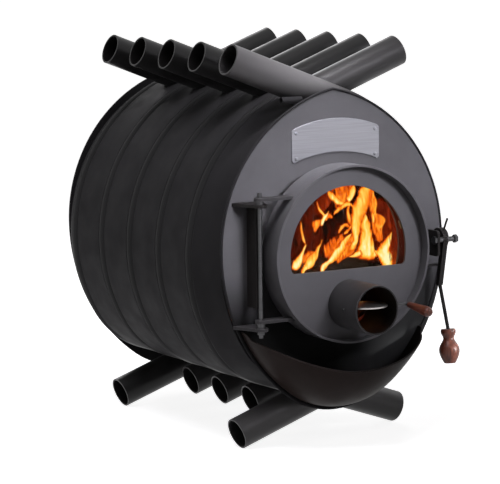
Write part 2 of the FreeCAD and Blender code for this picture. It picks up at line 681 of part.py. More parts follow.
def hinge_arm(base_z):
    """Flat bar from the hinge rod to the door ring, with a round eye."""
    eye = vec(HINGE_X, HINGE_Y, base_z)
    arm = block(eye - vec(0, ARM_WIDTH / 2, 0), vec(0, HINGE_Y + ARM_WIDTH / 2, base_z + ARM_T))
    arm = arm.fuse(Part.makeCylinder(ARM_WIDTH / 2, ARM_T, eye, UP)).removeSplitter()
    return arm.cut(door_envelope())


def door_envelope():
    """Round space that the door ring fills, for the pieces welded to its outside."""
    return Part.makeCylinder(DOOR_R + SEAT_GAP, DOOR_DEPTH, vec(0, DOOR_FRONT_Y, DOOR_Z), BACK)


def link(start, start_r, end, end_r, thickness):
    """Flat link along X between two round ends in a plane of constant X, tapering from one to the other."""
    run = end - start
    lean = math.acos((start_r - end_r) / run.Length)
    heading = math.atan2(run.z, run.y)
    tangents = [vec(0, math.cos(heading + side * lean), math.sin(heading + side * lean)) for side in (1, -1)]
    corners = [start + tangents[0] * start_r, end + tangents[0] * end_r,
               end + tangents[1] * end_r, start + tangents[1] * start_r]
    bar = polygon_face(corners).extrude(vec(thickness, 0, 0))
    ends = [Part.makeCylinder(start_r, thickness, start, EAST), Part.makeCylinder(end_r, thickness, end, EAST)]
    return bar.fuse(ends)


def leaning(degrees):
    """Downward direction that leans forward by an angle."""
    return vec(0, -math.sin(math.radians(degrees)), -math.cos(math.radians(degrees)))


def latch():
    """Gravity latch: a sleeve turns on the bracket's bolt and carries a boss, a spike and the handle bar."""
    pivot = vec(LATCH_X, LATCH_Y, LATCH_Z)
    bracket = block(vec(LATCH_X, LATCH_Y - LATCH_BRACKET_FRONT, LATCH_Z - LATCH_BRACKET_LOW),
                    vec(LATCH_X + LATCH_BRACKET_T, 0, LATCH_Z + LATCH_BRACKET_HIGH))
    front_corners = [edge for edge in bracket.Edges
                     if edge.BoundBox.YMax < LATCH_Y and abs(edge.tangentAt(edge.FirstParameter).x) > 0.99]
    bracket = bracket.makeFillet(LATCH_BRACKET_R, front_corners)
    sleeve_x = LATCH_BRACKET_T + LIFT_GAP
    nut_x = sleeve_x + LATCH_SLEEVE_L + LIFT_GAP
    bolt_l = nut_x + LATCH_NUT_H + LATCH_BOLT_PAST
    through = rod(LATCH_BOLT_R + RUN_GAP, pivot - vec(LATCH_HEAD_H, 0, 0), pivot + vec(bolt_l, 0, 0))
    shank = rod(LATCH_BOLT_R, pivot, pivot + vec(bolt_l, 0, 0))
    head = hex_prism(LATCH_NUT_FLATS, LATCH_HEAD_H, pivot - vec(LATCH_HEAD_H, 0, 0), EAST)
    sleeve = rod(LATCH_SLEEVE_R, pivot + vec(sleeve_x, 0, 0), pivot + vec(nut_x - LIFT_GAP, 0, 0))
    seat = rod(LATCH_SLEEVE_R + SEAT_GAP, pivot, pivot + vec(bolt_l, 0, 0))
    nut = hex_prism(LATCH_NUT_FLATS, LATCH_NUT_H, pivot + vec(nut_x, 0, 0), EAST)

    hub = pivot + vec(sleeve_x + LEVER_X, 0, 0)
    foot = hub + vec(0, LEVER_FOOT_BACK, -LEVER_FOOT_LOW)
    bar = link(hub, LEVER_BAR_ROOT_R, foot, LEVER_BAR_TIP_R, LEVER_T)
    boss_start = pivot + vec(sleeve_x + LEVER_BOSS_X, LEVER_BOSS_BACK, 0)
    boss = Part.makeCylinder(LEVER_BOSS_R, LEVER_BOSS_T, boss_start, EAST)
    spike_base = pivot + vec(sleeve_x + LEVER_BOSS_X + LEVER_BOSS_T / 2, LEVER_SPIKE_BACK, LEVER_SPIKE_LOW)
    spike_run = vec(0, -LEVER_SPIKE_BACK, LEVER_SPIKE_HIGH - LEVER_SPIKE_LOW)
    spike = rod(LEVER_SPIKE_R, spike_base, spike_base + spike_run)
    lever = boss.fuse([spike, bar]).removeSplitter().cut(seat)
    lever = max(lever.Solids, key=lambda solid: solid.Volume)

    rod_top = foot + vec(LEVER_T / 2, 0, 0)
    rod_end = rod_top + leaning(LATCH_ROD_LEAN) * LATCH_ROD_L
    axis = leaning(LATCH_GRIP_LEAN)
    stem = rod(LATCH_ROD_R, rod_top, rod_end).fuse(Part.makeSphere(LATCH_ROD_R, rod_end))
    stem = stem.fuse(rod(LATCH_ROD_R, rod_end, rod_end + axis * (LATCH_GRIP_L / 2))).cut(lever)
    shape = [(0.0, 0.66), (0.05, 0.73), (0.13, 0.71), (0.26, 0.53), (0.37, 0.66), (0.52, 0.94), (0.64, 1.0),
             (0.8, 0.88), (0.93, 0.68), (1.0, 0.54)]
    profile = [(run * LATCH_GRIP_L, share * LATCH_GRIP_R) for run, share in shape]
    grip = turned(profile, rod_end, axis).cut(stem)

    catch_z = LATCH_Z - TONGUE_DROP
    share = TONGUE_DROP / LEVER_FOOT_LOW
    bar_back = LATCH_Y + LEVER_FOOT_BACK * share + LEVER_BAR_ROOT_R
    tongue_front = bar_back + TONGUE_GAP
    tongue = block(vec(0, tongue_front, catch_z - TONGUE_T / 2),
                   vec(hub.x + LEVER_T + TONGUE_PAST, tongue_front + TONGUE_DEPTH, catch_z + TONGUE_T / 2))
    return {
        "latch_bracket": bracket.cut(through),
        "latch_pivot_bolt": shank.fuse(head).removeSplitter(),
        "latch_sleeve": sleeve.cut(through),
        "latch_pivot_nut": nut.cut(through),
        "latch_lever": lever,
        "latch_rod": max(stem.removeSplitter().Solids, key=lambda solid: solid.Volume),
        "latch_grip": grip,
        "latch_tongue": tongue.cut(door_envelope()),
    }


def window_face(margin):
    """Round window with a straight sill and rounded corners, grown by margin."""
    radius = WINDOW_R + margin
    sill = WINDOW_SILL_Z - margin
    drop = math.degrees(math.asin((DOOR_Z - sill) / radius))
    start = polar((0.0, DOOR_Z), radius, -drop)
    end = polar((0.0, DOOR_Z), radius, 180 + drop)
    return face_of([arc((0.0, DOOR_Z), radius, -drop, 180 + drop), line(end, start)])


def window_solid(margin, start, end):
    solid = along_y(window_face(margin), start, end)
    corners = [edge for edge in solid.Edges
               if abs(edge.tangentAt(edge.FirstParameter).y) > 0.99]
    return solid.makeFillet(WINDOW_CORNER_R + margin, corners)


def glass_clips():
    """Clips that hold the glass from behind, each with its screw into the disc."""
    clip_back = GLASS_BACK_Y + CLIP_T
    places = [(polar((0.0, DOOR_Z), WINDOW_R + GLASS_LAP, angle), angle) for angle in CLIP_ANGLES]
    sill = WINDOW_SILL_Z - GLASS_LAP
    places += [(vec(sign * SILL_CLIP_X, 0, sill), -90.0) for sign in (-1, 1)]
    clips = []
    screws = []
    for edge_point, angle in places:
        clip = block(vec(-CLIP_LAP, GLASS_BACK_Y, -CLIP_WIDTH / 2),
                     vec(CLIP_LENGTH - CLIP_LAP, clip_back, CLIP_WIDTH / 2))
        hole_x = (CLIP_LENGTH - CLIP_LAP) / 2
        hole = rod(SCREW_R + SEAT_GAP, vec(hole_x, DISC_BACK_Y, 0), vec(hole_x, clip_back, 0))
        screw = rod(SCREW_R, vec(hole_x, DISC_BACK_Y, 0), vec(hole_x, clip_back, 0))
        screw = screw.fuse(rod(SCREW_HEAD_R, vec(hole_x, clip_back, 0), vec(hole_x, clip_back + SCREW_HEAD_T, 0)))
        for piece, group in ((clip.cut(hole), clips), (screw.removeSplitter(), screws)):
            piece.rotate(vec(0, 0, 0), -BACK, angle)
            piece.translate(edge_point)
            group.append(piece)
    return {"glass_clips": Part.makeCompound(clips), "glass_clip_screws": Part.makeCompound(screws)}


def door():
    disc_r = DOOR_INNER_R - SEAT_GAP
    disc = Part.makeCylinder(disc_r, DISC_T, vec(0, DISC_FRONT_Y, DOOR_Z), BACK)
    disc = disc.cut(window_solid(0.0, DISC_FRONT_Y, DISC_BACK_Y))
    disc = disc.cut(Part.makeCylinder(PIPE_R + SEAT_GAP, DISC_T, vec(0, DISC_FRONT_Y, PIPE_Z), BACK))
    pipe = pipe_y(PIPE_R, PIPE_R - PIPE_WALL, PIPE_MOUTH_Y, DISC_BACK_Y, 0, PIPE_Z)
    cross = vec(0, DAMPER_ROD_Y, PIPE_Z)
    pipe = pipe.cut(rod(DAMPER_ROD_R + RUN_GAP, cross - vec(2 * PIPE_R, 0, 0), cross + vec(2 * PIPE_R, 0, 0)))
    tape_back = DISC_BACK_Y + TAPE_T
    tape = window_solid(GLASS_LAP, DISC_BACK_Y, tape_back)
    tape = tape.cut(window_solid(TAPE_INSET, DISC_BACK_Y, tape_back))
    rope_y = DISC_BACK_Y + SEAT_GAP + GASKET_D / 2
    rope_r = (COLLAR_R + MOUTH_R) / 2
    nodes = {
        "door_ring": pipe_y(DOOR_R, DOOR_INNER_R, DOOR_FRONT_Y, DOOR_BACK_Y, 0, DOOR_Z),
        "door_disc": disc,
        "air_pipe": pipe,
        "glass_gasket_tape": tape,
        "window_glass": window_solid(GLASS_LAP, tape_back, GLASS_BACK_Y),
        "door_rope_gasket": Part.makeTorus(rope_r, GASKET_D / 2, vec(0, rope_y, DOOR_Z), BACK),
    }
    nodes.update(glass_clips())
    return nodes


def stove():
    nodes = barrel()
    nodes["front_plate"] = front_plate()
    nodes["rear_plate"] = rear_plate()
    nodes["door_collar"] = pipe_y(COLLAR_R, MOUTH_R, COLLAR_FRONT_Y, 0.0, 0, DOOR_Z)
    nodes["ash_lip"] = ash_lip()
    nodes["side_socket"] = side_socket(nodes["right_tube_1"])
    nodes["firewood_logs"] = firewood()
    for group in (name_plate, flue, baffle, hinge, latch, door, air_damper):
        nodes.update(group())
    return nodes


def main():
    os.makedirs("parts", exist_ok=True)
    for name, shape in stove().items():
        shape.translate(vec(0, -ORIGIN_Y, 0))
        shape.exportStep("parts/%s.step" % name)
        print(name, len(shape.Solids), shape.isValid(), round(shape.Volume))


main()
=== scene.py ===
"""Looks for the convection tube stove: paint, wood, glass, fire, floor, light and camera."""
import math

import bmesh
import bpy
import numpy as np
from mathutils import Matrix, Vector, noise


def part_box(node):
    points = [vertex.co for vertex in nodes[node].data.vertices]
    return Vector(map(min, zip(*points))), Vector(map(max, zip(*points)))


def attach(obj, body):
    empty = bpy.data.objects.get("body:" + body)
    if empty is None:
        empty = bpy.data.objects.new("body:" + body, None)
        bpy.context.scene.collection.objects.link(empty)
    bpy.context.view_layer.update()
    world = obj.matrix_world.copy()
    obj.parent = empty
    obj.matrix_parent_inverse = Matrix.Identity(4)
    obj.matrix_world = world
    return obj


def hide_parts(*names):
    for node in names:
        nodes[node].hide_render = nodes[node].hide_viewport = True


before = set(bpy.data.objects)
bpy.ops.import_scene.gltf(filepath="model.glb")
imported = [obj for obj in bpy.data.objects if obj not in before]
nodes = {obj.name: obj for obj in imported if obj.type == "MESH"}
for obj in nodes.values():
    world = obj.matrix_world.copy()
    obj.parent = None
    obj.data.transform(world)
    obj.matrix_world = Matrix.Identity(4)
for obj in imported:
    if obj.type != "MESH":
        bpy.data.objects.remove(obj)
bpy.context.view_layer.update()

# The CAD is drawn from the outer face of its front plate: this is where that face lies in the frame
FRONT_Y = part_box("front_plate")[0].y


def at(x, y, z):
    """Millimetres right of the middle, behind the front plate's face and above the floor, as a point."""
    return Vector((x / 1000, FRONT_Y + y / 1000, z / 1000))


def linked(name, data):
    """A new object in the scene."""
    obj = bpy.data.objects.new(name, data)
    bpy.context.scene.collection.objects.link(obj)
    return obj


# Building blocks of the materials

NOISE_BAND = (0.3, 0.7)  # nearly all of a noise lies between these values
MIX_FIRST, MIX_SECOND, MIX_RESULT = 6, 7, 2  # a Mix node's sockets for colours
SHARP_EDGE = (0.75, 0.97)  # agreement of the rounded and the true normal, from an edge to a flat face
HOLLOW = (0.7, 0.92)  # share of open view, from down in a hollow to its mouth


def set_inputs(node, values):
    """Sets inputs by their names, written with _ for each space."""
    for key, value in values.items():
        node.inputs[key.replace("_", " ")].default_value = value


def new_material(name, **inputs):
    """A material, its tree and its shader, with the inputs that are the same all over set."""
    mat = bpy.data.materials.new(name)
    mat.use_nodes = True
    shader = mat.node_tree.nodes["Principled BSDF"]
    set_inputs(shader, inputs)
    return mat, mat.node_tree, shader


def add(tree, kind, **inputs):
    node = tree.nodes.new(kind)
    set_inputs(node, inputs)
    return node


def object_coords(tree, scale=(1, 1, 1)):
    coords = tree.nodes.new("ShaderNodeTexCoord")
    mapping = add(tree, "ShaderNodeMapping", Scale=scale)
    tree.links.new(coords.outputs["Object"], mapping.inputs["Vector"])
    return mapping.outputs["Vector"]


def noise_of(tree, vector, scale, detail, rough=0.5, distortion=0.0):
    node = add(tree, "ShaderNodeTexNoise", Scale=scale, Detail=detail, Roughness=rough, Distortion=distortion)
    tree.links.new(vector, node.inputs["Vector"])
    return node.outputs["Fac"]


def ramp_of(tree, factor, stops):
    node = tree.nodes.new("ShaderNodeValToRGB")
    elements = node.color_ramp.elements
    while len(elements) < len(stops):
        elements.new(0.5)
    for element, (place, colour) in zip(elements, stops):
        element.position = place
        element.color = (*colour, 1.0)
    tree.links.new(factor, node.inputs["Fac"])
    return node.outputs["Color"]


def two_tones(tree, factor, dark, light):
    """A noise as colours from dark to light."""
    return ramp_of(tree, factor, list(zip(NOISE_BAND, (dark, light))))


def range_of(tree, factor, low, high, from_low=0.0, from_high=1.0):
    node = add(tree, "ShaderNodeMapRange", From_Min=from_low, From_Max=from_high, To_Min=low, To_Max=high)
    tree.links.new(factor, node.inputs["Value"])
    return node.outputs["Result"]


def rising(tree, factor, low, high):
    """0 up to the low value and 1 from the high one."""
    return range_of(tree, factor, 0.0, 1.0, low, high)


def falling(tree, factor, low, high):
    """1 up to the low value and 0 from the high one."""
    return range_of(tree, factor, 1.0, 0.0, low, high)


def math_of(tree, operation, first, second):
    """The sum, product or the like of a socket and a second socket or number."""
    node = tree.nodes.new("ShaderNodeMath")
    node.operation = operation
    tree.links.new(first, node.inputs[0])
    if isinstance(second, float):
        node.inputs[1].default_value = second
    else:
        tree.links.new(second, node.inputs[1])
    return node.outputs[0]


def length_of(tree, vector):
    node = tree.nodes.new("ShaderNodeVectorMath")
    node.operation = "LENGTH"
    tree.links.new(vector, node.inputs[0])
    return node.outputs["Value"]


def split(tree, vector):
    """The X, Y and Z of a vector."""
    node = tree.nodes.new("ShaderNodeSeparateXYZ")
    tree.links.new(vector, node.inputs["Vector"])
    return node.outputs


def mixed(tree, factor, first, second):
    """First colour where the factor is 0, second where it is 1."""
    node = tree.nodes.new("ShaderNodeMix")
    node.data_type = "RGBA"
    tree.links.new(factor, node.inputs["Factor"])
    for socket, colour in ((node.inputs[MIX_FIRST], first), (node.inputs[MIX_SECOND], second)):
        if isinstance(colour, tuple):
            socket.default_value = (*colour, 1.0)
        else:
            tree.links.new(colour, socket)
    return node.outputs[MIX_RESULT]


def bump_of(tree, height, strength, distance, normal=None):
    node = add(tree, "ShaderNodeBump", Strength=strength, Distance=distance)
    tree.links.new(height, node.inputs["Height"])
    if normal is not None:
        tree.links.new(normal, node.inputs["Normal"])
    return node.outputs["Normal"]


def rounded_edges(tree, radius):
    node = add(tree, "ShaderNodeBevel", Radius=radius)
    node.samples = 4
    return node.outputs["Normal"]


def edge_mask(tree, normal):
    """1 along sharp edges, where a rounded normal leaves the true one."""
    true = tree.nodes.new("ShaderNodeNewGeometry")
    dot = tree.nodes.new("ShaderNodeVectorMath")
    dot.operation = "DOT_PRODUCT"
    tree.links.new(normal, dot.inputs[0])
    tree.links.new(true.outputs["Normal"], dot.inputs[1])
    return falling(tree, dot.outputs["Value"], *SHARP_EDGE)


def hollow_mask(tree, reach):
    """1 down inside a hollow of the piece itself, such as a tube's bore, where the paint takes painted shade."""
    node = add(tree, "ShaderNodeAmbientOcclusion", Distance=reach)
    node.samples = 8
    node.only_local = True
    return falling(tree, node.outputs["AO"], *HOLLOW)


# Zones of the paint: each takes the tree and its coordinates in metres, and gives a mask that is 1 in the zone

BARREL_TOP = (0.655, 0.69)  # heights over which the barrel's side turns into the tubes' free ends
BARREL_FOOT = (0.1, 0.14)  # heights over which the legs and stubs turn into the barrel's side
LIP_HEIGHTS = (0.235, 0.34)  # heights over which the painted shade behind the ash lip fades out
LIP_ACROSS = (-0.08, 0.1)  # places across over which the ash lip darkens, as painted shade
SHADE_LIFT_ACROSS = (0.0, 0.08)  # places across over which painted light lifts the painted shade behind the lip
LIT_FRONT_FADE = (-0.7, 0.1)  # Y of the normals over which the painted light on the tubes' front sides fades out
AIR_PIPE_WALL = 0.0022
COLLAR_WALL = 0.0015
WALL_FADE = 0.0004


def below_top(tree, here):
    """The barrel's side and the feet, without the tubes' free ends above."""
    return falling(tree, split(tree, here)["Z"], *BARREL_TOP)


def lit_feet(tree, here):
    """The legs and stubs under the barrel, where the tubes' paint is lighter as painted light."""
    return falling(tree, split(tree, here)["Z"], *BARREL_FOOT)


def belly(tree, here):
    """The barrel's side, without the tubes' free ends above and below."""
    above_floor = rising(tree, split(tree, here)["Z"], *BARREL_FOOT)
    return math_of(tree, "MULTIPLY", below_top(tree, here), above_floor)


def shade_under_door(tree, here):
    """The foot of the front plate, behind the ash lip, darkened as painted shade."""
    return falling(tree, split(tree, here)["Z"], *LIP_HEIGHTS)


def shade_under_door_lifted_right(tree, here):
    """The right of that foot, with less painted shade: painted light over the lip's cast shadow."""
    to_the_right = rising(tree, split(tree, here)["X"], *SHADE_LIFT_ACROSS)
    return math_of(tree, "MULTIPLY", shade_under_door(tree, here), to_the_right)


def shaded_right_side(tree, here):
    """The right of the ash lip, darkened as painted shade."""
    return rising(tree, split(tree, here)["X"], *LIP_ACROSS)


def lit_front_side(tree, here):
    """Faces that look to the front, where the tubes' paint is lighter as painted light."""
    facing = tree.nodes.new("ShaderNodeNewGeometry")
    return falling(tree, split(tree, facing.outputs["Normal"])["Y"], *LIT_FRONT_FADE)


def inside_of(tree, here, node, wall):
    """The inner side of a round node that lies along Y and has this thickness of wall."""
    low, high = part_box(node)
    place = split(tree, here)
    flat = tree.nodes.new("ShaderNodeCombineXYZ")
    tree.links.new(place["X"], flat.inputs["X"])
    tree.links.new(math_of(tree, "SUBTRACT", place["Z"], (low.z + high.z) / 2), flat.inputs["Y"])
    bore = (high.x - low.x) / 2 - wall
    return falling(tree, length_of(tree, flat.outputs[0]), bore, bore + WALL_FADE)


def pipe_bore_shade(tree, here):
    """The inner side of the air pipe, darkened as painted shade."""
    return inside_of(tree, here, "air_pipe", AIR_PIPE_WALL)


# Materials

HEAT = "flame_heat"  # attribute of the flames' points
PAINT_EDGE = 0.0012
STEEL_EDGE = 0.0006
DRAWN_LINES = (8, 8, 900)
BARK_CELLS = (1, 0.4, 1)
FLAME_STREAKS = (95, 55, 28)
DULL = 0.9
# painted shade down in a piece's own hollows, such as the tubes' bores
SHADE_IN_HOLLOWS = (0.004, 0.0035, 0.0035)
# lighter tones of sharp edges: rubbed paint and a painted highlight along them
EDGE_WEAR_AND_HIGHLIGHT = (0.2, 0.195, 0.2)
EDGE_WEAR_AND_HIGHLIGHT_DARK = (0.06, 0.058, 0.058)
# dark tones of the tubes along the barrel's side, painted shade that dims the light on their crests
BARREL_SHADE_TONES = ((0.008, 0.0078, 0.0082), (0.013, 0.0126, 0.0132))
DARK_GREY = (0.86, 0.83, 0.84)  # the two tones of a grey, as shares of its level
LIGHT_GREY = (1.1, 1.06, 1.08)


def paint(name, dark, light, rough, gloss, grain=0.12, worn_and_highlit=None, zones=(), hollow=None, dull=None):
    """Heat-proof paint: faint clouds of tone, fine sandy grain, and softly rounded edges that are lighter as rubbed
    paint and painted highlight.

    Each zone has its mask and the dark and light tone there; several zones are painted light and shade. The tone of
    the edges is rubbed paint and painted highlight, hollow the reach over which painted shade fills the piece's own
    hollows, and dull the mask of a zone where the paint has lost its sheen.
    """
    mat, tree, shader = new_material(name, Specular_IOR_Level=gloss)
    here = object_coords(tree)
    clouds = noise_of(tree, here, 9.0, 4.0, 0.6)
    colour = two_tones(tree, clouds, dark, light)
    for mask, zone_dark, zone_light in zones:
        tone = two_tones(tree, clouds, zone_dark, zone_light)
        colour = mixed(tree, mask(tree, here), colour, tone)
    round_normal = rounded_edges(tree, PAINT_EDGE)
    # sharp edges lighter: rubbed paint and a painted highlight
    if worn_and_highlit is not None:
        colour = mixed(tree, edge_mask(tree, round_normal), colour, worn_and_highlit)
    # painted shade in the piece's own hollows
    if hollow is not None:
        colour = mixed(tree, hollow_mask(tree, hollow), colour, SHADE_IN_HOLLOWS)
    tree.links.new(colour, shader.inputs["Base Color"])
    smudges = noise_of(tree, here, 26.0, 3.0, 0.55)
    roughness = range_of(tree, smudges, rough - 0.07, rough + 0.07, *NOISE_BAND)
    if dull is not None:
        roughness = math_of(tree, "MAXIMUM", roughness, range_of(tree, dull(tree, here), 0.0, DULL))
    tree.links.new(roughness, shader.inputs["Roughness"])
    sand = noise_of(tree, here, 900.0, 2.0, 0.6)
    tree.links.new(bump_of(tree, sand, grain, 0.0004, round_normal), shader.inputs["Normal"])
    return mat


def tones(level):
    """The dark and the light tone of a grey of this level."""
    return tuple(share * level for share in DARK_GREY), tuple(share * level for share in LIGHT_GREY)


def tube_paint(name, top, foot, front_lit=None):
    """Paint for a tube: greys for its free end and its foot, the barrel's tones between, and a grey on its front; the
    lighter foot and front are painted light, and the darker stretch along the barrel is painted shade.
    """
    zones = [(lit_front_side, *tones(front_lit))] if front_lit else []
    zones += [(below_top, *BARREL_SHADE_TONES), (lit_feet, *tones(foot))]
    return paint(name, *tones(top), 0.4, gloss=0.22, worn_and_highlit=EDGE_WEAR_AND_HIGHLIGHT_DARK, zones=zones, hollow=0.05, dull=belly)


def steel(name, dark, light, rough):
    """Bare metal with fine drawn lines."""
    mat, tree, shader = new_material(name, Metallic=1.0)
    lines = noise_of(tree, object_coords(tree, DRAWN_LINES), 1.0, 3.0, 0.6)
    tree.links.new(two_tones(tree, lines, dark, light), shader.inputs["Base Color"])
    tree.links.new(range_of(tree, lines, rough - 0.06, rough + 0.08, *NOISE_BAND), shader.inputs["Roughness"])
    tree.links.new(bump_of(tree, lines, 0.06, 0.0002, rounded_edges(tree, STEEL_EDGE)), shader.inputs["Normal"])
    return mat


def turned_wood(name, stretch):
    """Stained wood with grain along the grip and a satin varnish."""
    mat, tree, shader = new_material(name, Specular_IOR_Level=0.3, Coat_Weight=0.12, Coat_Roughness=0.38)
    grain = noise_of(tree, object_coords(tree, stretch), 1.0, 5.0, 0.62, 0.6)
    colours = [(0.3, (0.04, 0.01, 0.006)), (0.5, (0.11, 0.029, 0.016)), (0.72, (0.19, 0.056, 0.033))]
    tree.links.new(ramp_of(tree, grain, colours), shader.inputs["Base Color"])
    tree.links.new(range_of(tree, grain, 0.36, 0.48), shader.inputs["Roughness"])
    tree.links.new(bump_of(tree, grain, 0.1, 0.0005), shader.inputs["Normal"])
    return mat


def glass_pane(name):
    """Clear glass ceramic with a warm tint."""
    mat, _, _ = new_material(name, Base_Color=(0.93, 0.88, 0.8, 1.0), Roughness=0.02, IOR=1.1, Transmission_Weight=1.0)
    return mat


def woven(name):
    """Woven glass fibre."""
    mat, tree, shader = new_material(name, Roughness=0.95)
    waves = add(tree, "ShaderNodeTexWave", Scale=260.0, Distortion=3.0, Detail=2.0)
    tree.links.new(object_coords(tree), waves.inputs["Vector"])
    colours = [(0.0, (0.05, 0.05, 0.05)), (1.0, (0.2, 0.19, 0.18))]
    tree.links.new(ramp_of(tree, waves.outputs["Fac"], colours), shader.inputs["Base Color"])
    tree.links.new(bump_of(tree, waves.outputs["Fac"], 0.5, 0.0008), shader.inputs["Normal"])
    return mat


def charred_wood(name):
    """Burnt bark: black scales with glowing cracks between them in patches."""
    mat, tree, shader = new_material(name, Roughness=0.9, Emission_Strength=0.1)
    here = object_coords(tree)
    cells = add(tree, "ShaderNodeTexVoronoi", Scale=55.0)
    cells.feature = "DISTANCE_TO_EDGE"
    tree.links.new(object_coords(tree, BARK_CELLS), cells.inputs["Vector"])
    ash = noise_of(tree, here, 40.0, 5.0, 0.65)
    colours = [(0.35, (0.004, 0.0015, 0.001)), (0.7, (0.014, 0.007, 0.005))]
    tree.links.new(ramp_of(tree, ash, colours), shader.inputs["Base Color"])
    cracks = falling(tree, cells.outputs["Distance"], 0.0, 0.07)
    patches = rising(tree, noise_of(tree, here, 14.0, 2.0), 0.45, 0.7)
    heat = math_of(tree, "MULTIPLY", cracks, patches)
    embers = [(0.0, (0.0, 0.0, 0.0)), (0.5, (0.6, 0.07, 0.005)), (1.0, (1.0, 0.35, 0.05))]
    tree.links.new(ramp_of(tree, heat, embers), shader.inputs["Emission Color"])
    tree.links.new(bump_of(tree, cells.outputs["Distance"], 0.8, 0.004), shader.inputs["Normal"])
    return mat


def firelit_black(name):
    """Sooty steel with a dull red glow in patches on its inner side, which is painted firelight."""
    mat, tree, shader = new_material(name, Roughness=0.9, Specular_IOR_Level=0.05)
    here = object_coords(tree)
    soot = noise_of(tree, here, 30.0, 4.0, 0.6)
    black = two_tones(tree, soot, (0.006, 0.005, 0.005), (0.018, 0.014, 0.012))
    tree.links.new(black, shader.inputs["Base Color"])
    # painted firelight: the glow on the collar's inner side
    glow = noise_of(tree, here, 14.0, 3.0, 0.55, 0.5)
    red = two_tones(tree, glow, (0.012, 0.0012, 0.0008), (0.06, 0.006, 0.003))
    tree.links.new(red, shader.inputs["Emission Color"])
    tree.links.new(inside_of(tree, here, "door_collar", COLLAR_WALL), shader.inputs["Emission Strength"])
    tree.links.new(bump_of(tree, soot, 0.3, 0.001), shader.inputs["Normal"])
    return mat


def flame_material(name, strength, stops):
    """Glowing gas: colour and see-through edges come from the heat stored on the flame's points."""
    mat, tree, shader = new_material(name, Base_Color=(0.0, 0.0, 0.0, 1.0), Roughness=1.0, Specular_IOR_Level=0.0,
                                     Emission_Strength=strength)
    stored = tree.nodes.new("ShaderNodeAttribute")
    stored.attribute_name = HEAT
    streaks = noise_of(tree, object_coords(tree, FLAME_STREAKS), 1.0, 3.5, 0.55, 1.6)
    wobble = range_of(tree, streaks, -0.3, 0.2, 0.28, 0.72)
    heat = math_of(tree, "ADD", stored.outputs["Fac"], wobble)
    tree.links.new(ramp_of(tree, heat, stops), shader.inputs["Emission Color"])
    tree.links.new(rising(tree, heat, 0.02, 0.4), shader.inputs["Alpha"])
    return mat


# black paint of the barrel's strips, rear plate and bead, set darker than the front's grey as painted shade
STRIP_SHADED = paint("strip_paint_shaded", (0.02, 0.0194, 0.0205), (0.028, 0.0272, 0.0286), 0.62, gloss=0.04)
# the tubes share one paint: these copies differ as painted light and shade, lightest on the front tubes' tops and
# fronts and with the rear tubes' feet darker
TUBE_FIRST_LIT = tube_paint("tube_paint_first_lit", 0.024, 0.06, 0.125)
TUBE_SECOND_LIT = tube_paint("tube_paint_second_lit", 0.02, 0.05, 0.045)
TUBE = tube_paint("tube_paint", 0.011, 0.05)
TUBE_LAST_SHADED = tube_paint("tube_paint_last_shaded", 0.011, 0.02)
FRONT = paint("front_paint", (0.108, 0.106, 0.112), (0.132, 0.129, 0.137), 0.5, gloss=0.07, worn_and_highlit=EDGE_WEAR_AND_HIGHLIGHT)
# front plate's paint, with painted shade at its foot behind the ash lip
FACE = paint("face_paint", (0.11, 0.108, 0.114), (0.135, 0.132, 0.14), 0.5, gloss=0.03, worn_and_highlit=EDGE_WEAR_AND_HIGHLIGHT,
             zones=[(shade_under_door, (0.005, 0.0051, 0.0051), (0.008, 0.0081, 0.0081)),
                    # lighter at the right of that foot: painted light over the lip's cast shadow
                    (shade_under_door_lifted_right, (0.034, 0.0345, 0.035), (0.047, 0.0475, 0.048))])
# paint of the air pipe and hinge parts, a darker copy of the front's grey as painted shade, with painted shade down
# the pipe's bore
PIPE_SHADED = paint("pipe_paint_shaded", (0.042, 0.04, 0.042), (0.052, 0.05, 0.052), 0.5, gloss=0.1, worn_and_highlit=EDGE_WEAR_AND_HIGHLIGHT,
             zones=[(pipe_bore_shade, (0.004, 0.0035, 0.003), (0.006, 0.005, 0.0045))])
SHADED = paint("bracket_paint", (0.014, 0.0125, 0.0125), (0.021, 0.019, 0.0185), 0.5, gloss=0.1, worn_and_highlit=EDGE_WEAR_AND_HIGHLIGHT_DARK)
# ash lip's paint, darker at its right as painted shade
LIP = paint("lip_paint", (0.017, 0.0118, 0.0105), (0.026, 0.018, 0.0162), 0.5, gloss=0.06, worn_and_highlit=EDGE_WEAR_AND_HIGHLIGHT_DARK,
            zones=[(shaded_right_side, (0.007, 0.0055, 0.005), (0.011, 0.0088, 0.008))])
SOOT = paint("soot_black", (0.008, 0.007, 0.007), (0.02, 0.017, 0.015), 0.9, gloss=0.05, grain=0.3)
BARE = steel("bare_steel", (0.35, 0.34, 0.33), (0.5, 0.48, 0.46), 0.42)
HINGE = steel("hinge_steel", (0.045, 0.045, 0.047), (0.085, 0.084, 0.087), 0.48)
PLATE = steel("plate_steel", (0.18, 0.18, 0.196), (0.25, 0.25, 0.271), 0.45)
WOOD_FRONT = turned_wood("stained_wood_along", (160, 18, 160))
WOOD_DOWN = turned_wood("stained_wood_down", (150, 150, 16))
GLASS = glass_pane("stove_glass")
ROPE = woven("woven_fibre")
CHAR = charred_wood("charred_wood")
FIRELIT_COLLAR = firelit_black("firelit_black")

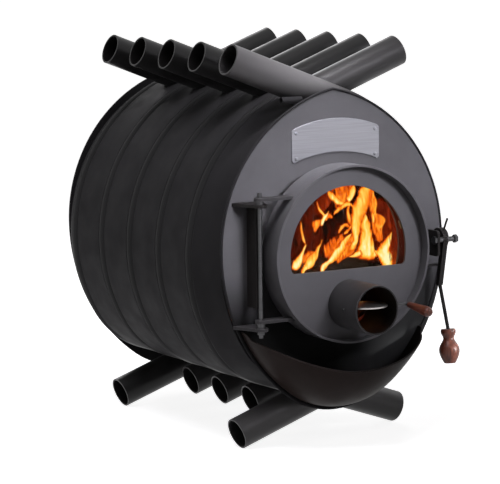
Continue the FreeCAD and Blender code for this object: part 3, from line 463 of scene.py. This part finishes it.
LOOKS = {
    "front_plate": FACE, "door_ring": FRONT, "door_disc": FRONT, "air_pipe": PIPE_SHADED, "door_collar": FIRELIT_COLLAR,
    "ash_lip": LIP, "rear_plate": STRIP_SHADED, "flue_spigot": TUBE_LAST_SHADED, "side_socket": STRIP_SHADED,
    "baffle_plate": SOOT, "baffle_rails": SOOT, "flue_damper_flap": BARE, "air_damper_plate": BARE,
    "hinge_upper_bracket": SHADED, "hinge_lower_lug": PIPE_SHADED, "door_hinge_arms": PIPE_SHADED,
    "hinge_rod": HINGE, "hinge_spacers": HINGE, "hinge_rod_nut": HINGE,
    "latch_bracket": SHADED, "latch_tongue": SHADED, "latch_lever": SHADED, "latch_rod": SHADED,
    "latch_pivot_bolt": HINGE, "latch_pivot_nut": HINGE, "latch_sleeve": HINGE,
    "air_damper_rod": HINGE, "flue_damper_rod": HINGE,
    "name_plate": PLATE, "name_plate_rivets": PLATE,
    "air_damper_grip": WOOD_FRONT, "flue_damper_grip": WOOD_FRONT, "latch_grip": WOOD_DOWN,
    "firewood_logs": CHAR, "window_glass": GLASS,
    "right_tube_1": TUBE_FIRST_LIT, "left_tube_1": TUBE_SECOND_LIT, "left_tube_5": TUBE_LAST_SHADED, "right_tube_5": TUBE_LAST_SHADED,
    "glass_gasket_tape": ROPE, "door_rope_gasket": ROPE, "glass_clips": BARE, "glass_clip_screws": BARE,
}
for name, obj in nodes.items():
    obj.data.materials.clear()
    obj.data.materials.append(LOOKS.get(name, TUBE if "_tube_" in name else STRIP_SHADED))

# Building blocks of the pieces

WELD = 1e-5  # points nearer than this are one point


def turns(count):
    """Angles that share out a full turn."""
    return [2 * math.pi * k / count for k in range(count)]


def bridge(work, first, second):
    """Faces from one ring of points to the next."""
    for k in range(len(first)):
        n = (k + 1) % len(first)
        work.faces.new((first[k], first[n], second[n], second[k]))


def loft(work, rings):
    """A closed skin over rings of points."""
    for first, second in zip(rings, rings[1:]):
        bridge(work, first, second)
    work.faces.new(list(reversed(rings[0])))
    work.faces.new(rings[-1])


def mesh_of(name, work):
    mesh = bpy.data.meshes.new(name)
    work.to_mesh(mesh)
    work.free()
    return mesh


def piece(name, mesh, material, smooth=True):
    """A piece that rides on the stove's body."""
    for polygon in mesh.polygons:
        polygon.use_smooth = smooth
    mesh.materials.append(material)
    obj = linked(name, mesh)
    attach(obj, "stove_body")
    return obj


# Pieces that follow the photograph more closely than their solids: sizes in metres

FORWARD = -0.99  # Y of a normal that looks straight to the front
PLATE_MIDDLE_Z = 0.38
BEAD_RADIUS = 0.0026
BEAD_SIDES = 10
BEAD_INSET = 0.0012
BEAD_DEPTH = 0.0008
LIP_DROP = 0.025  # how much lower the right ear is
LIP_DROP_START, LIP_DROP_RUN = 0.03, 0.12
LIP_SAG = 0.008  # how much lower the rim hangs right of the middle
LIP_SAG_X, LIP_SAG_WIDTH = 0.075, 0.05


def outer_edge(name):
    """The outline of a node's forward face, in order, as points."""
    work = bmesh.new()
    work.from_mesh(nodes[name].data)
    bmesh.ops.remove_doubles(work, verts=work.verts, dist=WELD)
    work.normal_update()
    forward = {face for face in work.faces if face.normal.y < FORWARD}
    rim = [edge for edge in work.edges if sum(face in forward for face in edge.link_faces) == 1]
    beside = {}
    for edge in rim:
        for one, other in (edge.verts, reversed(edge.verts)):
            beside.setdefault(one.index, []).append(other.index)
    work.verts.ensure_lookup_table()
    start = max(beside, key=lambda index: work.verts[index].co.x)
    loop = [start]
    while True:
        ahead = [index for index in beside[loop[-1]] if index not in loop[-2:]]
        if not ahead or ahead[0] == start:
            break
        loop.append(ahead[0])
    points = [work.verts[index].co.copy() for index in loop]
    work.free()
    return points


def plate_bead(rim):
    """Weld bead that rounds off the rim of the front plate."""
    work = bmesh.new()
    rings = []
    for i, point in enumerate(rim):
        run = (rim[(i + 1) % len(rim)] - rim[i - 1]).normalized()
        out = Vector((run.z, 0, -run.x))
        if out.dot(point - Vector((0, point.y, PLATE_MIDDLE_Z))) < 0:
            out.negate()
        middle = point - out * BEAD_INSET + Vector((0, BEAD_DEPTH, 0))
        rings.append([work.verts.new(middle + BEAD_RADIUS * (out * math.cos(a) - Vector((0, math.sin(a), 0))))
                      for a in turns(BEAD_SIDES)])
    for ring, following in zip(rings, rings[1:] + rings[:1]):
        bridge(work, ring, following)
    bmesh.ops.recalc_face_normals(work, faces=work.faces)
    obj = piece("front_plate_bead", mesh_of("front_plate_bead", work), STRIP_SHADED)


def reach_of(rim, z):
    """How far right the plate's rim stands at a height in its lower half."""
    lower = sorted((p.z, p.x) for p in rim if p.x > 0 and p.z < PLATE_MIDDLE_Z)
    for (z0, x0), (z1, x1) in zip(lower, lower[1:]):
        if z0 <= z <= z1:
            return x0 + (x1 - x0) * (z - z0) / max(z1 - z0, 1e-9)
    return lower[0][1] if z < lower[0][0] else lower[-1][1]


def leaning_lip(rim):
    """The ash lip with its right ear set lower along the plate's rim than its left one."""
    low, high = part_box("ash_lip")
    work = bmesh.new()
    work.from_mesh(nodes["ash_lip"].data)
    bmesh.ops.remove_doubles(work, verts=work.verts, dist=WELD)
    for vert in work.verts:
        x, z = vert.co.x, vert.co.z
        side = min(1.0, max(0.0, (x - LIP_DROP_START) / LIP_DROP_RUN))
        rise = (z - low.z) / (high.z - low.z)
        hang = LIP_SAG * math.exp(-((x - LIP_SAG_X) / LIP_SAG_WIDTH) ** 2)
        lowered = z - (LIP_DROP * side * side * (3 - 2 * side) + hang) * rise * rise
        vert.co.x = x - max(0.0, reach_of(rim, z) - reach_of(rim, lowered))
        vert.co.z = lowered
    obj = piece("ash_lip_scoop", mesh_of("ash_lip_scoop", work), LIP, smooth=False)
    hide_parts("ash_lip")


# The name plate and its rivets: sizes in millimetres

NAME_PLATE_FRONT = (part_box("name_plate")[0].y - FRONT_Y) * 1000
NAME_PLATE_BACK = (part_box("name_plate")[1].y - FRONT_Y) * 1000
NAME_PLATE_X = 4.7
NAME_PLATE_HALF = 96.7
NAME_PLATE_TOP, NAME_PLATE_LOW = 617.4, 553.4  # crests of the two arched edges
NAME_PLATE_ARC = 262.0
NAME_PLATE_CORNER = 8.0
NAME_PLATE_SOFT_RIM = [(0.6, 0.0), (0.15, 0.35), (0.0, 0.9)]  # depth and inset of the rim's steps
TOP_CORNER_DROP, LOW_CORNER_RISE = 0.75, 1.1  # places of the corners' middles, as shares of their radius
ARC_STEPS = 24
CORNER_STEPS = 7
RIVET_XS = (-82.5, 91.9)
RIVET_ZS = (592.5, 545.0)
RIVET_DOME = [(3.6, -0.2), (3.5, 0.5), (2.9, 1.1), (1.7, 1.5)]  # radius, height over the plate
RIVET_SIDES = 16


def name_plate_outline(inset):
    """Points round the plate: upright sides, arched edges and rounded corners."""
    half = NAME_PLATE_HALF - inset
    top, low = NAME_PLATE_TOP - inset, NAME_PLATE_LOW + inset
    inner = half - NAME_PLATE_CORNER
    spread = [inner * (2 * i / ARC_STEPS - 1) for i in range(ARC_STEPS + 1)]

    def fall(x):
        return NAME_PLATE_ARC - math.sqrt(NAME_PLATE_ARC ** 2 - x ** 2)

    def edge(height, xs):
        return [(NAME_PLATE_X + x, height - fall(x)) for x in xs]

    right = []
    for height, start in ((top - fall(half) - TOP_CORNER_DROP * NAME_PLATE_CORNER, 90),
                          (low - fall(half) + LOW_CORNER_RISE * NAME_PLATE_CORNER, 0)):
        for i in range(1, CORNER_STEPS):
            a = math.radians(start - 90 * i / CORNER_STEPS)
            right.append((NAME_PLATE_X + (inner + NAME_PLATE_CORNER * math.cos(a)),
                          height + NAME_PLATE_CORNER * math.sin(a)))
    left = [(2 * NAME_PLATE_X - x, z) for x, z in reversed(right)]
    return edge(top, spread) + right + edge(low, reversed(spread)) + left


def name_plate():
    """Bare brushed plate with a softened rim."""
    work = bmesh.new()
    steps = [(NAME_PLATE_BACK, 0.0)] + [(NAME_PLATE_FRONT + depth, inset) for depth, inset in NAME_PLATE_SOFT_RIM]
    loft(work, [[work.verts.new(at(x, y, z)) for x, z in name_plate_outline(inset)] for y, inset in steps])
    bmesh.ops.recalc_face_normals(work, faces=work.faces)
    obj = piece("name_plate_sheet", mesh_of("name_plate_sheet", work), PLATE, smooth=False)
    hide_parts("name_plate")


def name_plate_rivets():
    """Domed rivets in the plate's corners."""
    work = bmesh.new()
    for x, z in [(x, z) for z in RIVET_ZS for x in RIVET_XS]:
        loft(work, [[work.verts.new(at(x + radius * math.cos(a), NAME_PLATE_FRONT - height, z + radius * math.sin(a)))
                     for a in turns(RIVET_SIDES)] for radius, height in RIVET_DOME])
    bmesh.ops.recalc_face_normals(work, faces=work.faces)
    obj = piece("name_plate_rivet_heads", mesh_of("name_plate_rivet_heads", work), PLATE)
    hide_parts("name_plate_rivets")


plate_rim = outer_edge("front_plate")
plate_bead(plate_rim)
leaning_lip(plate_rim)
name_plate()
name_plate_rivets()

# Fire: sizes in millimetres, depths behind the front plate's face

# Blender shifts its noise vectors by a seed that is the clock's unless it is set
FIRE_SEED = 6
noise.seed_set(FIRE_SEED)

FIRE_X, FIRE_Z = (-110, 215), (306, 500)
FIRE_CELL = 1.5
SHEET_HALF = 0.15  # half the thickness of a body of flame
COOL = 0.03  # heat under which no flame is left
SWIRL_X, SWIRL_Y, SWIRL_Z = 3.2, 5.0, 4.0  # how far the swirls of the air move the flames
HOT_FORWARD = 2.0  # how far forward the hottest flame stands
HOTTEST = 1.2
BLEND = 5  # the higher, the less tongues add up where they meet
TONGUE_STEPS = 70
TONGUE_HALF = 0.6  # half a tongue's width, as a share of its stations' widths
TONGUE_THINNEST = 1.6
TONGUE_FOOT = 5  # length over which a tongue's foot fades
RIM_MIDDLE, RIM_HALF = 0.7, 0.3  # where the glow of a rim lies between a flame's middle and its edge
BLADE_STEPS, BLADE_SIDES = 40, 32
BLADE_STEP_AHEAD = 0.02
BLADE_HALF, BLADE_THINNEST, BLADE_DEPTH = 0.72, 0.8, 0.25
BLADE_RIM = 0.2


def along(stations, t):
    """The point and width at a share t of a smooth line through the stations."""
    place = t * (len(stations) - 1)
    i = min(int(place), len(stations) - 2)
    s = place - i
    before = stations[max(i - 1, 0)]
    start = stations[i]
    end = stations[i + 1]
    after = stations[min(i + 2, len(stations) - 1)]
    return [0.5 * (2 * b + (c - a) * s + (2 * a - 5 * b + 4 * c - d) * s * s + (3 * b - a - 3 * c + d) * s ** 3)
            for a, b, c, d in zip(before, start, end, after)]


def glow_of(core, edge, rim):
    """Glow of a flame's middle and edge, where rim is the share that moves from the one to the other."""
    return (1 - rim) * core + rim * (0.45 * core + 0.75 * edge)


def glow_blade(name, depth, stations, warmth):
    """Dull fire: a pointed blade with a lens section and soft edges."""
    work = bmesh.new()
    layer = work.verts.layers.float.new(HEAT)
    rings = []
    for i in range(BLADE_STEPS + 1):
        t = i / BLADE_STEPS
        x, z, width = along(stations, t)
        x2, z2, _ = along(stations, min(1.0, t + BLADE_STEP_AHEAD))
        x1, z1, _ = along(stations, max(0.0, t - BLADE_STEP_AHEAD))
        run = Vector((x2 - x1, 0, z2 - z1)).normalized()
        side = Vector((run.z, 0, -run.x))
        half = BLADE_HALF * max(width, BLADE_THINNEST)
        ring = []
        for angle in turns(BLADE_SIDES):
            u = math.cos(angle)
            offset = side * (half * u) + Vector((0, BLADE_DEPTH * half * math.sin(angle), 0))
            vert = work.verts.new(at(x + offset.x, depth + offset.y, z + offset.z))
            core = 1 - abs(u) ** 1.6
            edge = max(0.0, 1 - abs(abs(u) - RIM_MIDDLE) / RIM_HALF)
            vert[layer] = warmth * glow_of(core, edge, BLADE_RIM) * (1.04 - 0.3 * t) * min(1.0, 0.4 + 5 * t)
            ring.append(vert)
        rings.append(ring)
    loft(work, rings)
    piece(name, mesh_of(name, work), DEEP)


def heat_of(x, z, warmth, rim, lean, stations):
    """Heat that one tongue of flame gives at points x and z."""
    shares = np.linspace(0, 1, TONGUE_STEPS)
    line = np.array([along(stations, share) for share in shares])
    run = np.gradient(line[:, :2], axis=0)
    run /= np.linalg.norm(run, axis=1, keepdims=True) + 1e-9
    across, up = x[..., None] - line[:, 0], z[..., None] - line[:, 1]
    far = np.hypot(across, up) / (TONGUE_HALF * np.maximum(line[:, 2], TONGUE_THINNEST))
    near = far.argmin(axis=-1)

    def nearest(values):
        return np.take_along_axis(values, near[..., None], -1)[..., 0]

    side = nearest(across) * run[near, 1] - nearest(up) * run[near, 0]
    u = nearest(far) * np.where(side < 0, -1, 1)
    off = np.where(u > lean, (u - lean) / (1 - lean), (u - lean) / (1 + lean))
    core = np.clip(1 - np.abs(off) ** 2.0, 0, 1)
    edge = np.clip(1 - np.abs(np.abs(u) - RIM_MIDDLE) / RIM_HALF, 0, 1)
    t = shares[near]
    behind = -(across[..., 0] * run[0, 0] + up[..., 0] * run[0, 1])
    foot = np.where(near == 0, np.clip(1 - behind / TONGUE_FOOT, 0, 1), 1.0)
    return warmth * glow_of(core, edge, rim) * foot * (1.05 - 0.25 * t) * np.minimum(1.0, 0.5 + 5 * t)


def swirl(x, y, z):
    """Slow and quick swirls of the air at a point."""
    slow = noise.noise_vector((0.05 * x, 0.1 * y, 0.03 * z))
    quick = noise.noise_vector((0.13 * x, 0.1 * y, 0.07 * z))
    return slow + 0.5 * quick


def fire_body(name, depth, tongues):
    """A body of flame: tongues that flow together in one thin waving sheet."""
    xs = np.arange(*FIRE_X, FIRE_CELL)
    zs = np.arange(*FIRE_Z, FIRE_CELL)
    x, z = np.meshgrid(xs, zs, indexing="ij")
    bend = np.array([[swirl(a, depth, b) for b in zs] for a in xs])
    warped_x = x + SWIRL_X * bend[..., 0]
    warped_z = z + SWIRL_Z * bend[..., 2]
    heat = sum(heat_of(warped_x, warped_z, *tongue) ** BLEND for tongue in tongues) ** (1 / BLEND)
    wave = depth + SWIRL_Y * bend[..., 1] - HOT_FORWARD * np.clip(heat, 0, HOTTEST)
    hot = heat > COOL
    kept = hot[:-1, :-1] | hot[1:, :-1] | hot[:-1, 1:] | hot[1:, 1:]
    index_of = {}
    verts, heats, faces = [], [], []

    def corner(place, front):
        key = (*place, front)
        if key not in index_of:
            index_of[key] = len(verts)
            verts.append(at(x[place], wave[place] + (-SHEET_HALF if front else SHEET_HALF), z[place]))
            heats.append(heat[place])
        return index_of[key]

    for i, j in np.argwhere(kept):
        ring = [(i, j), (i + 1, j), (i + 1, j + 1), (i, j + 1)]
        faces.append([corner(place, True) for place in ring])
        faces.append([corner(place, False) for place in reversed(ring)])
        beyond = [(i, j - 1), (i + 1, j), (i, j + 1), (i - 1, j)]
        for first, second, (m, n) in zip(ring, ring[1:] + ring[:1], beyond):
            if not (0 <= m < kept.shape[0] and 0 <= n < kept.shape[1] and kept[m, n]):
                faces.append([corner(second, True), corner(first, True), corner(first, False), corner(second, False)])
    mesh = bpy.data.meshes.new(name)
    mesh.from_pydata(verts, [], faces)
    mesh.attributes.new(HEAT, "FLOAT", "POINT").data.foreach_set("value", heats)
    piece(name, mesh, HOT)


HOT = flame_material("flame_hot", 1.12, [
    (0.0, (0.5, 0.025, 0.001)), (0.17, (0.85, 0.09, 0.003)), (0.35, (1.0, 0.22, 0.007)),
    (0.56, (1.0, 0.48, 0.045)), (0.76, (1.0, 0.74, 0.16)), (1.0, (1.0, 0.93, 0.52)),
])
DEEP = flame_material("flame_deep", 0.9, [
    (0.0, (0.03, 0.001, 0.0)), (0.35, (0.16, 0.008, 0.0)), (0.65, (0.5, 0.05, 0.003)), (1.0, (1.0, 0.28, 0.02)),
])

# Bodies of flame: name, depth and tongues. Each tongue has its warmth, how far its glow moves from its middle to its
# edges, the side its brightest line leans to, and stations of (across, height, width)
FIRE = [
    ("back", 66, [
        (0.6, 0.6, 0.5, [(126, 418, 4), (130, 426, 15), (130, 442, 18), (126, 457, 15), (122, 470, 5)]),
        (0.52, 0.3, 0.0, [(53, 444, 15), (58, 455, 38), (61, 468, 45), (63, 479, 40)]),
        (0.55, 0.0, 0.0, [(78, 402, 3), (75, 415, 7), (74, 428, 6), (78, 439, 2)]),
        (0.52, 0.4, 0.0, [(44, 335, 13), (67, 351, 23), (83, 367, 20), (90, 388, 8)]),
        (0.4, 0.2, 0.0, [(23, 341, 10), (34, 358, 28), (50, 372, 28), (65, 380, 3)]),
        (0.55, 0.5, 0.0, [(149, 364, 9), (144, 380, 18), (141, 395, 24), (140, 408, 25), (138, 418, 10)]),
        (0.6, 0.5, 0.5, [(141, 395, 8), (150, 402, 13), (153, 409, 8), (147, 416, 2)]),
    ]),
    ("middle", 45, [
        (0.92, 0.1, -0.3, [(67, 358, 5), (77, 374, 11), (77, 391, 16), (78, 408, 24), (84, 428, 28),
                           (91, 445, 27), (101, 461, 27), (108, 476, 15)]),
        (1.0, 0.1, 0.15, [(98, 340, 42), (99, 355, 32), (100, 372, 23), (99, 392, 21), (99, 407, 15), (98, 422, 4)]),
        (0.95, 0.2, 0.3, [(117, 340, 15), (115, 354, 11), (114, 367, 7), (113, 376, 1)]),
        (0.8, 0.2, 0.0, [(115, 408, 3), (115, 418, 6), (114, 426, 1)]),
        (0.95, 0.1, 0.2, [(59, 452, 8), (65, 460, 13), (71, 469, 13), (74, 479, 2)]),
        (0.95, 0.1, -0.3, [(47, 448, 3), (37, 451, 10), (26, 460, 14), (20, 470, 10), (16, 475, 1)]),
        (0.7, 0.0, 0.0, [(28, 425, 2), (36, 436, 7), (50, 443, 8), (65, 444, 7), (72, 438, 5), (74, 428, 1)]),
        (1.25, 0.0, -0.2, [(-3, 410, 4), (0, 418, 7), (7, 425, 8), (16, 432, 1)]),
        (0.5, 0.2, 0.0, [(5, 417, 5), (15, 424, 11), (25, 421, 3)]),
        (0.62, 0.2, 0.0, [(-15, 398, 2), (-16, 409, 11), (-10, 416, 11), (-6, 419, 2)]),
        (0.8, 0.0, 0.0, [(4, 428, 4), (-4, 440, 4), (-10, 455, 1)]),
        (0.55, 0.2, 0.0, [(-34, 340, 13), (-29, 350, 23), (-20, 357, 10), (-16, 360, 2)]),
        (0.52, 0.5, 0.0, [(162, 318, 15), (162, 333, 18), (157, 348, 15), (152, 361, 2)]),
        (0.55, 0.0, 0.0, [(41, 394, 2), (44, 402, 6), (55, 405, 6), (61, 398, 2)]),
        (0.55, 0.0, 0.0, [(51, 389, 2), (58, 393, 6), (65, 403, 2)]),
        (0.6, 0.2, 0.0, [(64, 356, 4), (74, 368, 9), (74, 383, 8), (71, 398, 3)]),
    ]),
    ("front", 22, [
        (1.05, 0.1, 0.0, [(75, 353, 13), (62, 350, 9), (47, 349, 1)]),
        (0.78, 0.0, 0.0, [(-52, 382, 3), (-56, 395, 5), (-59, 410, 5), (-60, 423, 1)]),
        (1.2, 0.1, -0.2, [(-75, 332, 8), (-69, 343, 13), (-62, 355, 12), (-55, 368, 7), (-51, 379, 1)]),
        (0.98, 0.2, 0.25, [(-57, 321, 6), (-53, 332, 9), (-42, 341, 16), (-31, 353, 12), (-24, 367, 7),
                           (-13, 385, 1)]),
        (1.1, 0.15, -0.45, [(-15, 322, 7), (-11, 332, 12), (1, 341, 9), (14, 350, 14), (27, 365, 14),
                            (41, 379, 13), (51, 392, 2)]),
        (1.15, 0.1, 0.35, [(137, 321, 15), (131, 338, 23), (124, 351, 25), (130, 366, 17), (137, 378, 9),
                           (142, 388, 1)]),
        (0.95, 0.1, 0.0, [(136, 324, 10), (123, 343, 12), (113, 349, 9), (106, 353, 1)]),
        (0.42, 0.3, 0.0, [(170, 317, 10), (169, 335, 13), (161, 353, 3)]),
    ]),
]
for name, depth, tongues in FIRE:
    fire_body("flame_" + name, depth, tongues)

# Dull red fire in the depth of the chamber, and close to the glass at its right a dull red sheet that is painted
# firelight: name, depth, stations and warmth
GLOW = [
    ("upper", 90, [(38, 436, 28), (28, 446, 45), (20, 454, 17)], 0.62),
    ("right", 82, [(174, 318, 50), (181, 356, 68), (176, 406, 59), (156, 446, 23)], 0.5),
    # painted firelight close to the glass at the right
    ("far_right", 12, [(156, 322, 32), (160, 362, 41), (156, 401, 32), (142, 441, 14)], 0.4),
    ("deep_left", 130, [(-24, 318, 60), (-40, 380, 90), (-52, 470, 30)], 0.2),
    ("deep_middle", 150, [(50, 318, 80), (40, 390, 100), (46, 490, 60)], 0.27),
    ("deep_right", 140, [(140, 318, 60), (150, 380, 90), (160, 470, 30)], 0.34),
]
for name, depth, stations, warmth in GLOW:
    glow_blade("flame_glow_" + name, depth, stations, warmth)

# Floor and light

FLOOR_HALF = 30.0
FLOOR_LEVELS = (0.86, 1.02)  # how bright the floor shows near the stove and away from it
SHADOW_REACH = (0.45, 1.0)  # distances from the middle over which it turns from one to the other
WORLD_LEVELS = (0.05, 1.0)  # strength as light on things, and as what the eye sees
WORLD_TINTS = [(0.0, (1.0, 0.9, 0.86)), (1.0, (1.0, 1.0, 1.0))]


def seen_directly(tree):
    """1 for what the eye sees straight, in gloss or through glass, and 0 for the light that falls on things."""
    path = tree.nodes.new("ShaderNodeLightPath")
    total = path.outputs["Is Camera Ray"]
    for kind in ("Is Glossy Ray", "Is Transmission Ray"):
        total = math_of(tree, "MAXIMUM", total, path.outputs[kind])
    return total


def floor_material():
    """Pale floor that shows white to the eye and keeps a soft shadow near the stove."""
    mat, tree, shader = new_material("floor_white", Base_Color=(0.8, 0.8, 0.8, 1.0), Roughness=0.9,
                                     Specular_IOR_Level=0.0, Emission_Color=(1.0, 1.0, 1.0, 1.0))
    white = range_of(tree, length_of(tree, object_coords(tree)), *FLOOR_LEVELS, *SHADOW_REACH)
    tree.links.new(math_of(tree, "MULTIPLY", white, seen_directly(tree)), shader.inputs["Emission Strength"])
    return mat


def big_floor():
    work = bmesh.new()
    bmesh.ops.create_grid(work, x_segments=1, y_segments=1, size=FLOOR_HALF)
    obj = linked("floor", mesh_of("floor", work))
    obj.data.materials.append(floor_material())


def lamp(name, place, target, size, power, spread, colour):
    """A soft box: size is its width and height, spread the angle of its grid."""
    data = bpy.data.lights.new(name, "AREA")
    data.shape = "RECTANGLE"
    data.size, data.size_y = size
    data.energy = power
    data.color = colour
    data.spread = math.radians(spread)
    obj = linked(name, data)
    obj.location = place
    obj.rotation_mode = "QUATERNION"
    obj.rotation_quaternion = (Vector(target) - Vector(place)).to_track_quat("-Z", "Y")


big_floor()

grip_low, grip_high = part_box("latch_grip")
grip_middle = grip_low.lerp(grip_high, 0.5)
lamp("key", (0.28, -1.4, 1.0), (0.0, -0.27, 0.49), (1.1, 0.42), 1.45, 25, (1.0, 0.98, 1.06))
lamp("top", (-0.7, -0.5, 2.4), (-0.1, 0, 0.65), (1.0, 1.0), 9, 110, (1.0, 0.98, 1.04))
lamp("fill", (-3.2, -0.6, 1.5), (0, 0, 0.45), (1.6, 1.6), 6.5, 180, (1.0, 0.98, 0.99))
lamp("side", (1.45, -1.65, 0.6), grip_middle, (0.06, 0.06), 0.032, 3, (1.0, 1.0, 1.0))
lamp("crown", (0.0, -0.75, 2.2), (-0.03, -0.27, 0.69), (0.25, 0.25), 0.25, 11, (1.0, 0.98, 1.04))
lamp("back", (1.0, 3.2, 2.0), (0, 0.3, 0.4), (1.6, 1.6), 11, 120, (1.0, 0.98, 1.0))
lamp("right", (3.2, 0.6, 1.4), (0.1, 0.1, 0.4), (1.6, 1.6), 6, 120, (1.0, 0.98, 1.0))

world = bpy.data.worlds.new("studio")
bpy.context.scene.world = world
world.use_nodes = True
sky = world.node_tree
background = sky.nodes["Background"]
seen = seen_directly(sky)
sky.links.new(ramp_of(sky, seen, WORLD_TINTS), background.inputs["Color"])
sky.links.new(range_of(sky, seen, *WORLD_LEVELS), background.inputs["Strength"])

# The photograph's camera: its place, its heading, pitch and roll in degrees, and its lens for a sensor of this width
CAMERA_PLACE = at(-2424.7, -3928.4, 996.3)
YAW, PITCH, ROLL = 29.71, 7.56, -0.70
LENS, SENSOR = 177.0, 36.0
yaw, pitch, roll = (math.radians(a) for a in (YAW, PITCH, ROLL))
ahead = Vector((math.sin(yaw) * math.cos(pitch), math.cos(yaw) * math.cos(pitch), -math.sin(pitch)))
level = Vector((math.cos(yaw), -math.sin(yaw), 0))
upright = level.cross(ahead)
right = level * math.cos(roll) + upright * math.sin(roll)
above = upright * math.cos(roll) - level * math.sin(roll)
cam_data = bpy.data.cameras.new("camera")
cam_data.lens = LENS
cam_data.sensor_width = SENSOR
camera = linked("camera", cam_data)
camera.matrix_world = Matrix.Translation(CAMERA_PLACE) @ Matrix((right, above, -ahead)).transposed().to_4x4()
bpy.context.scene.camera = camera

bpy.context.scene.view_settings.view_transform = "Standard"
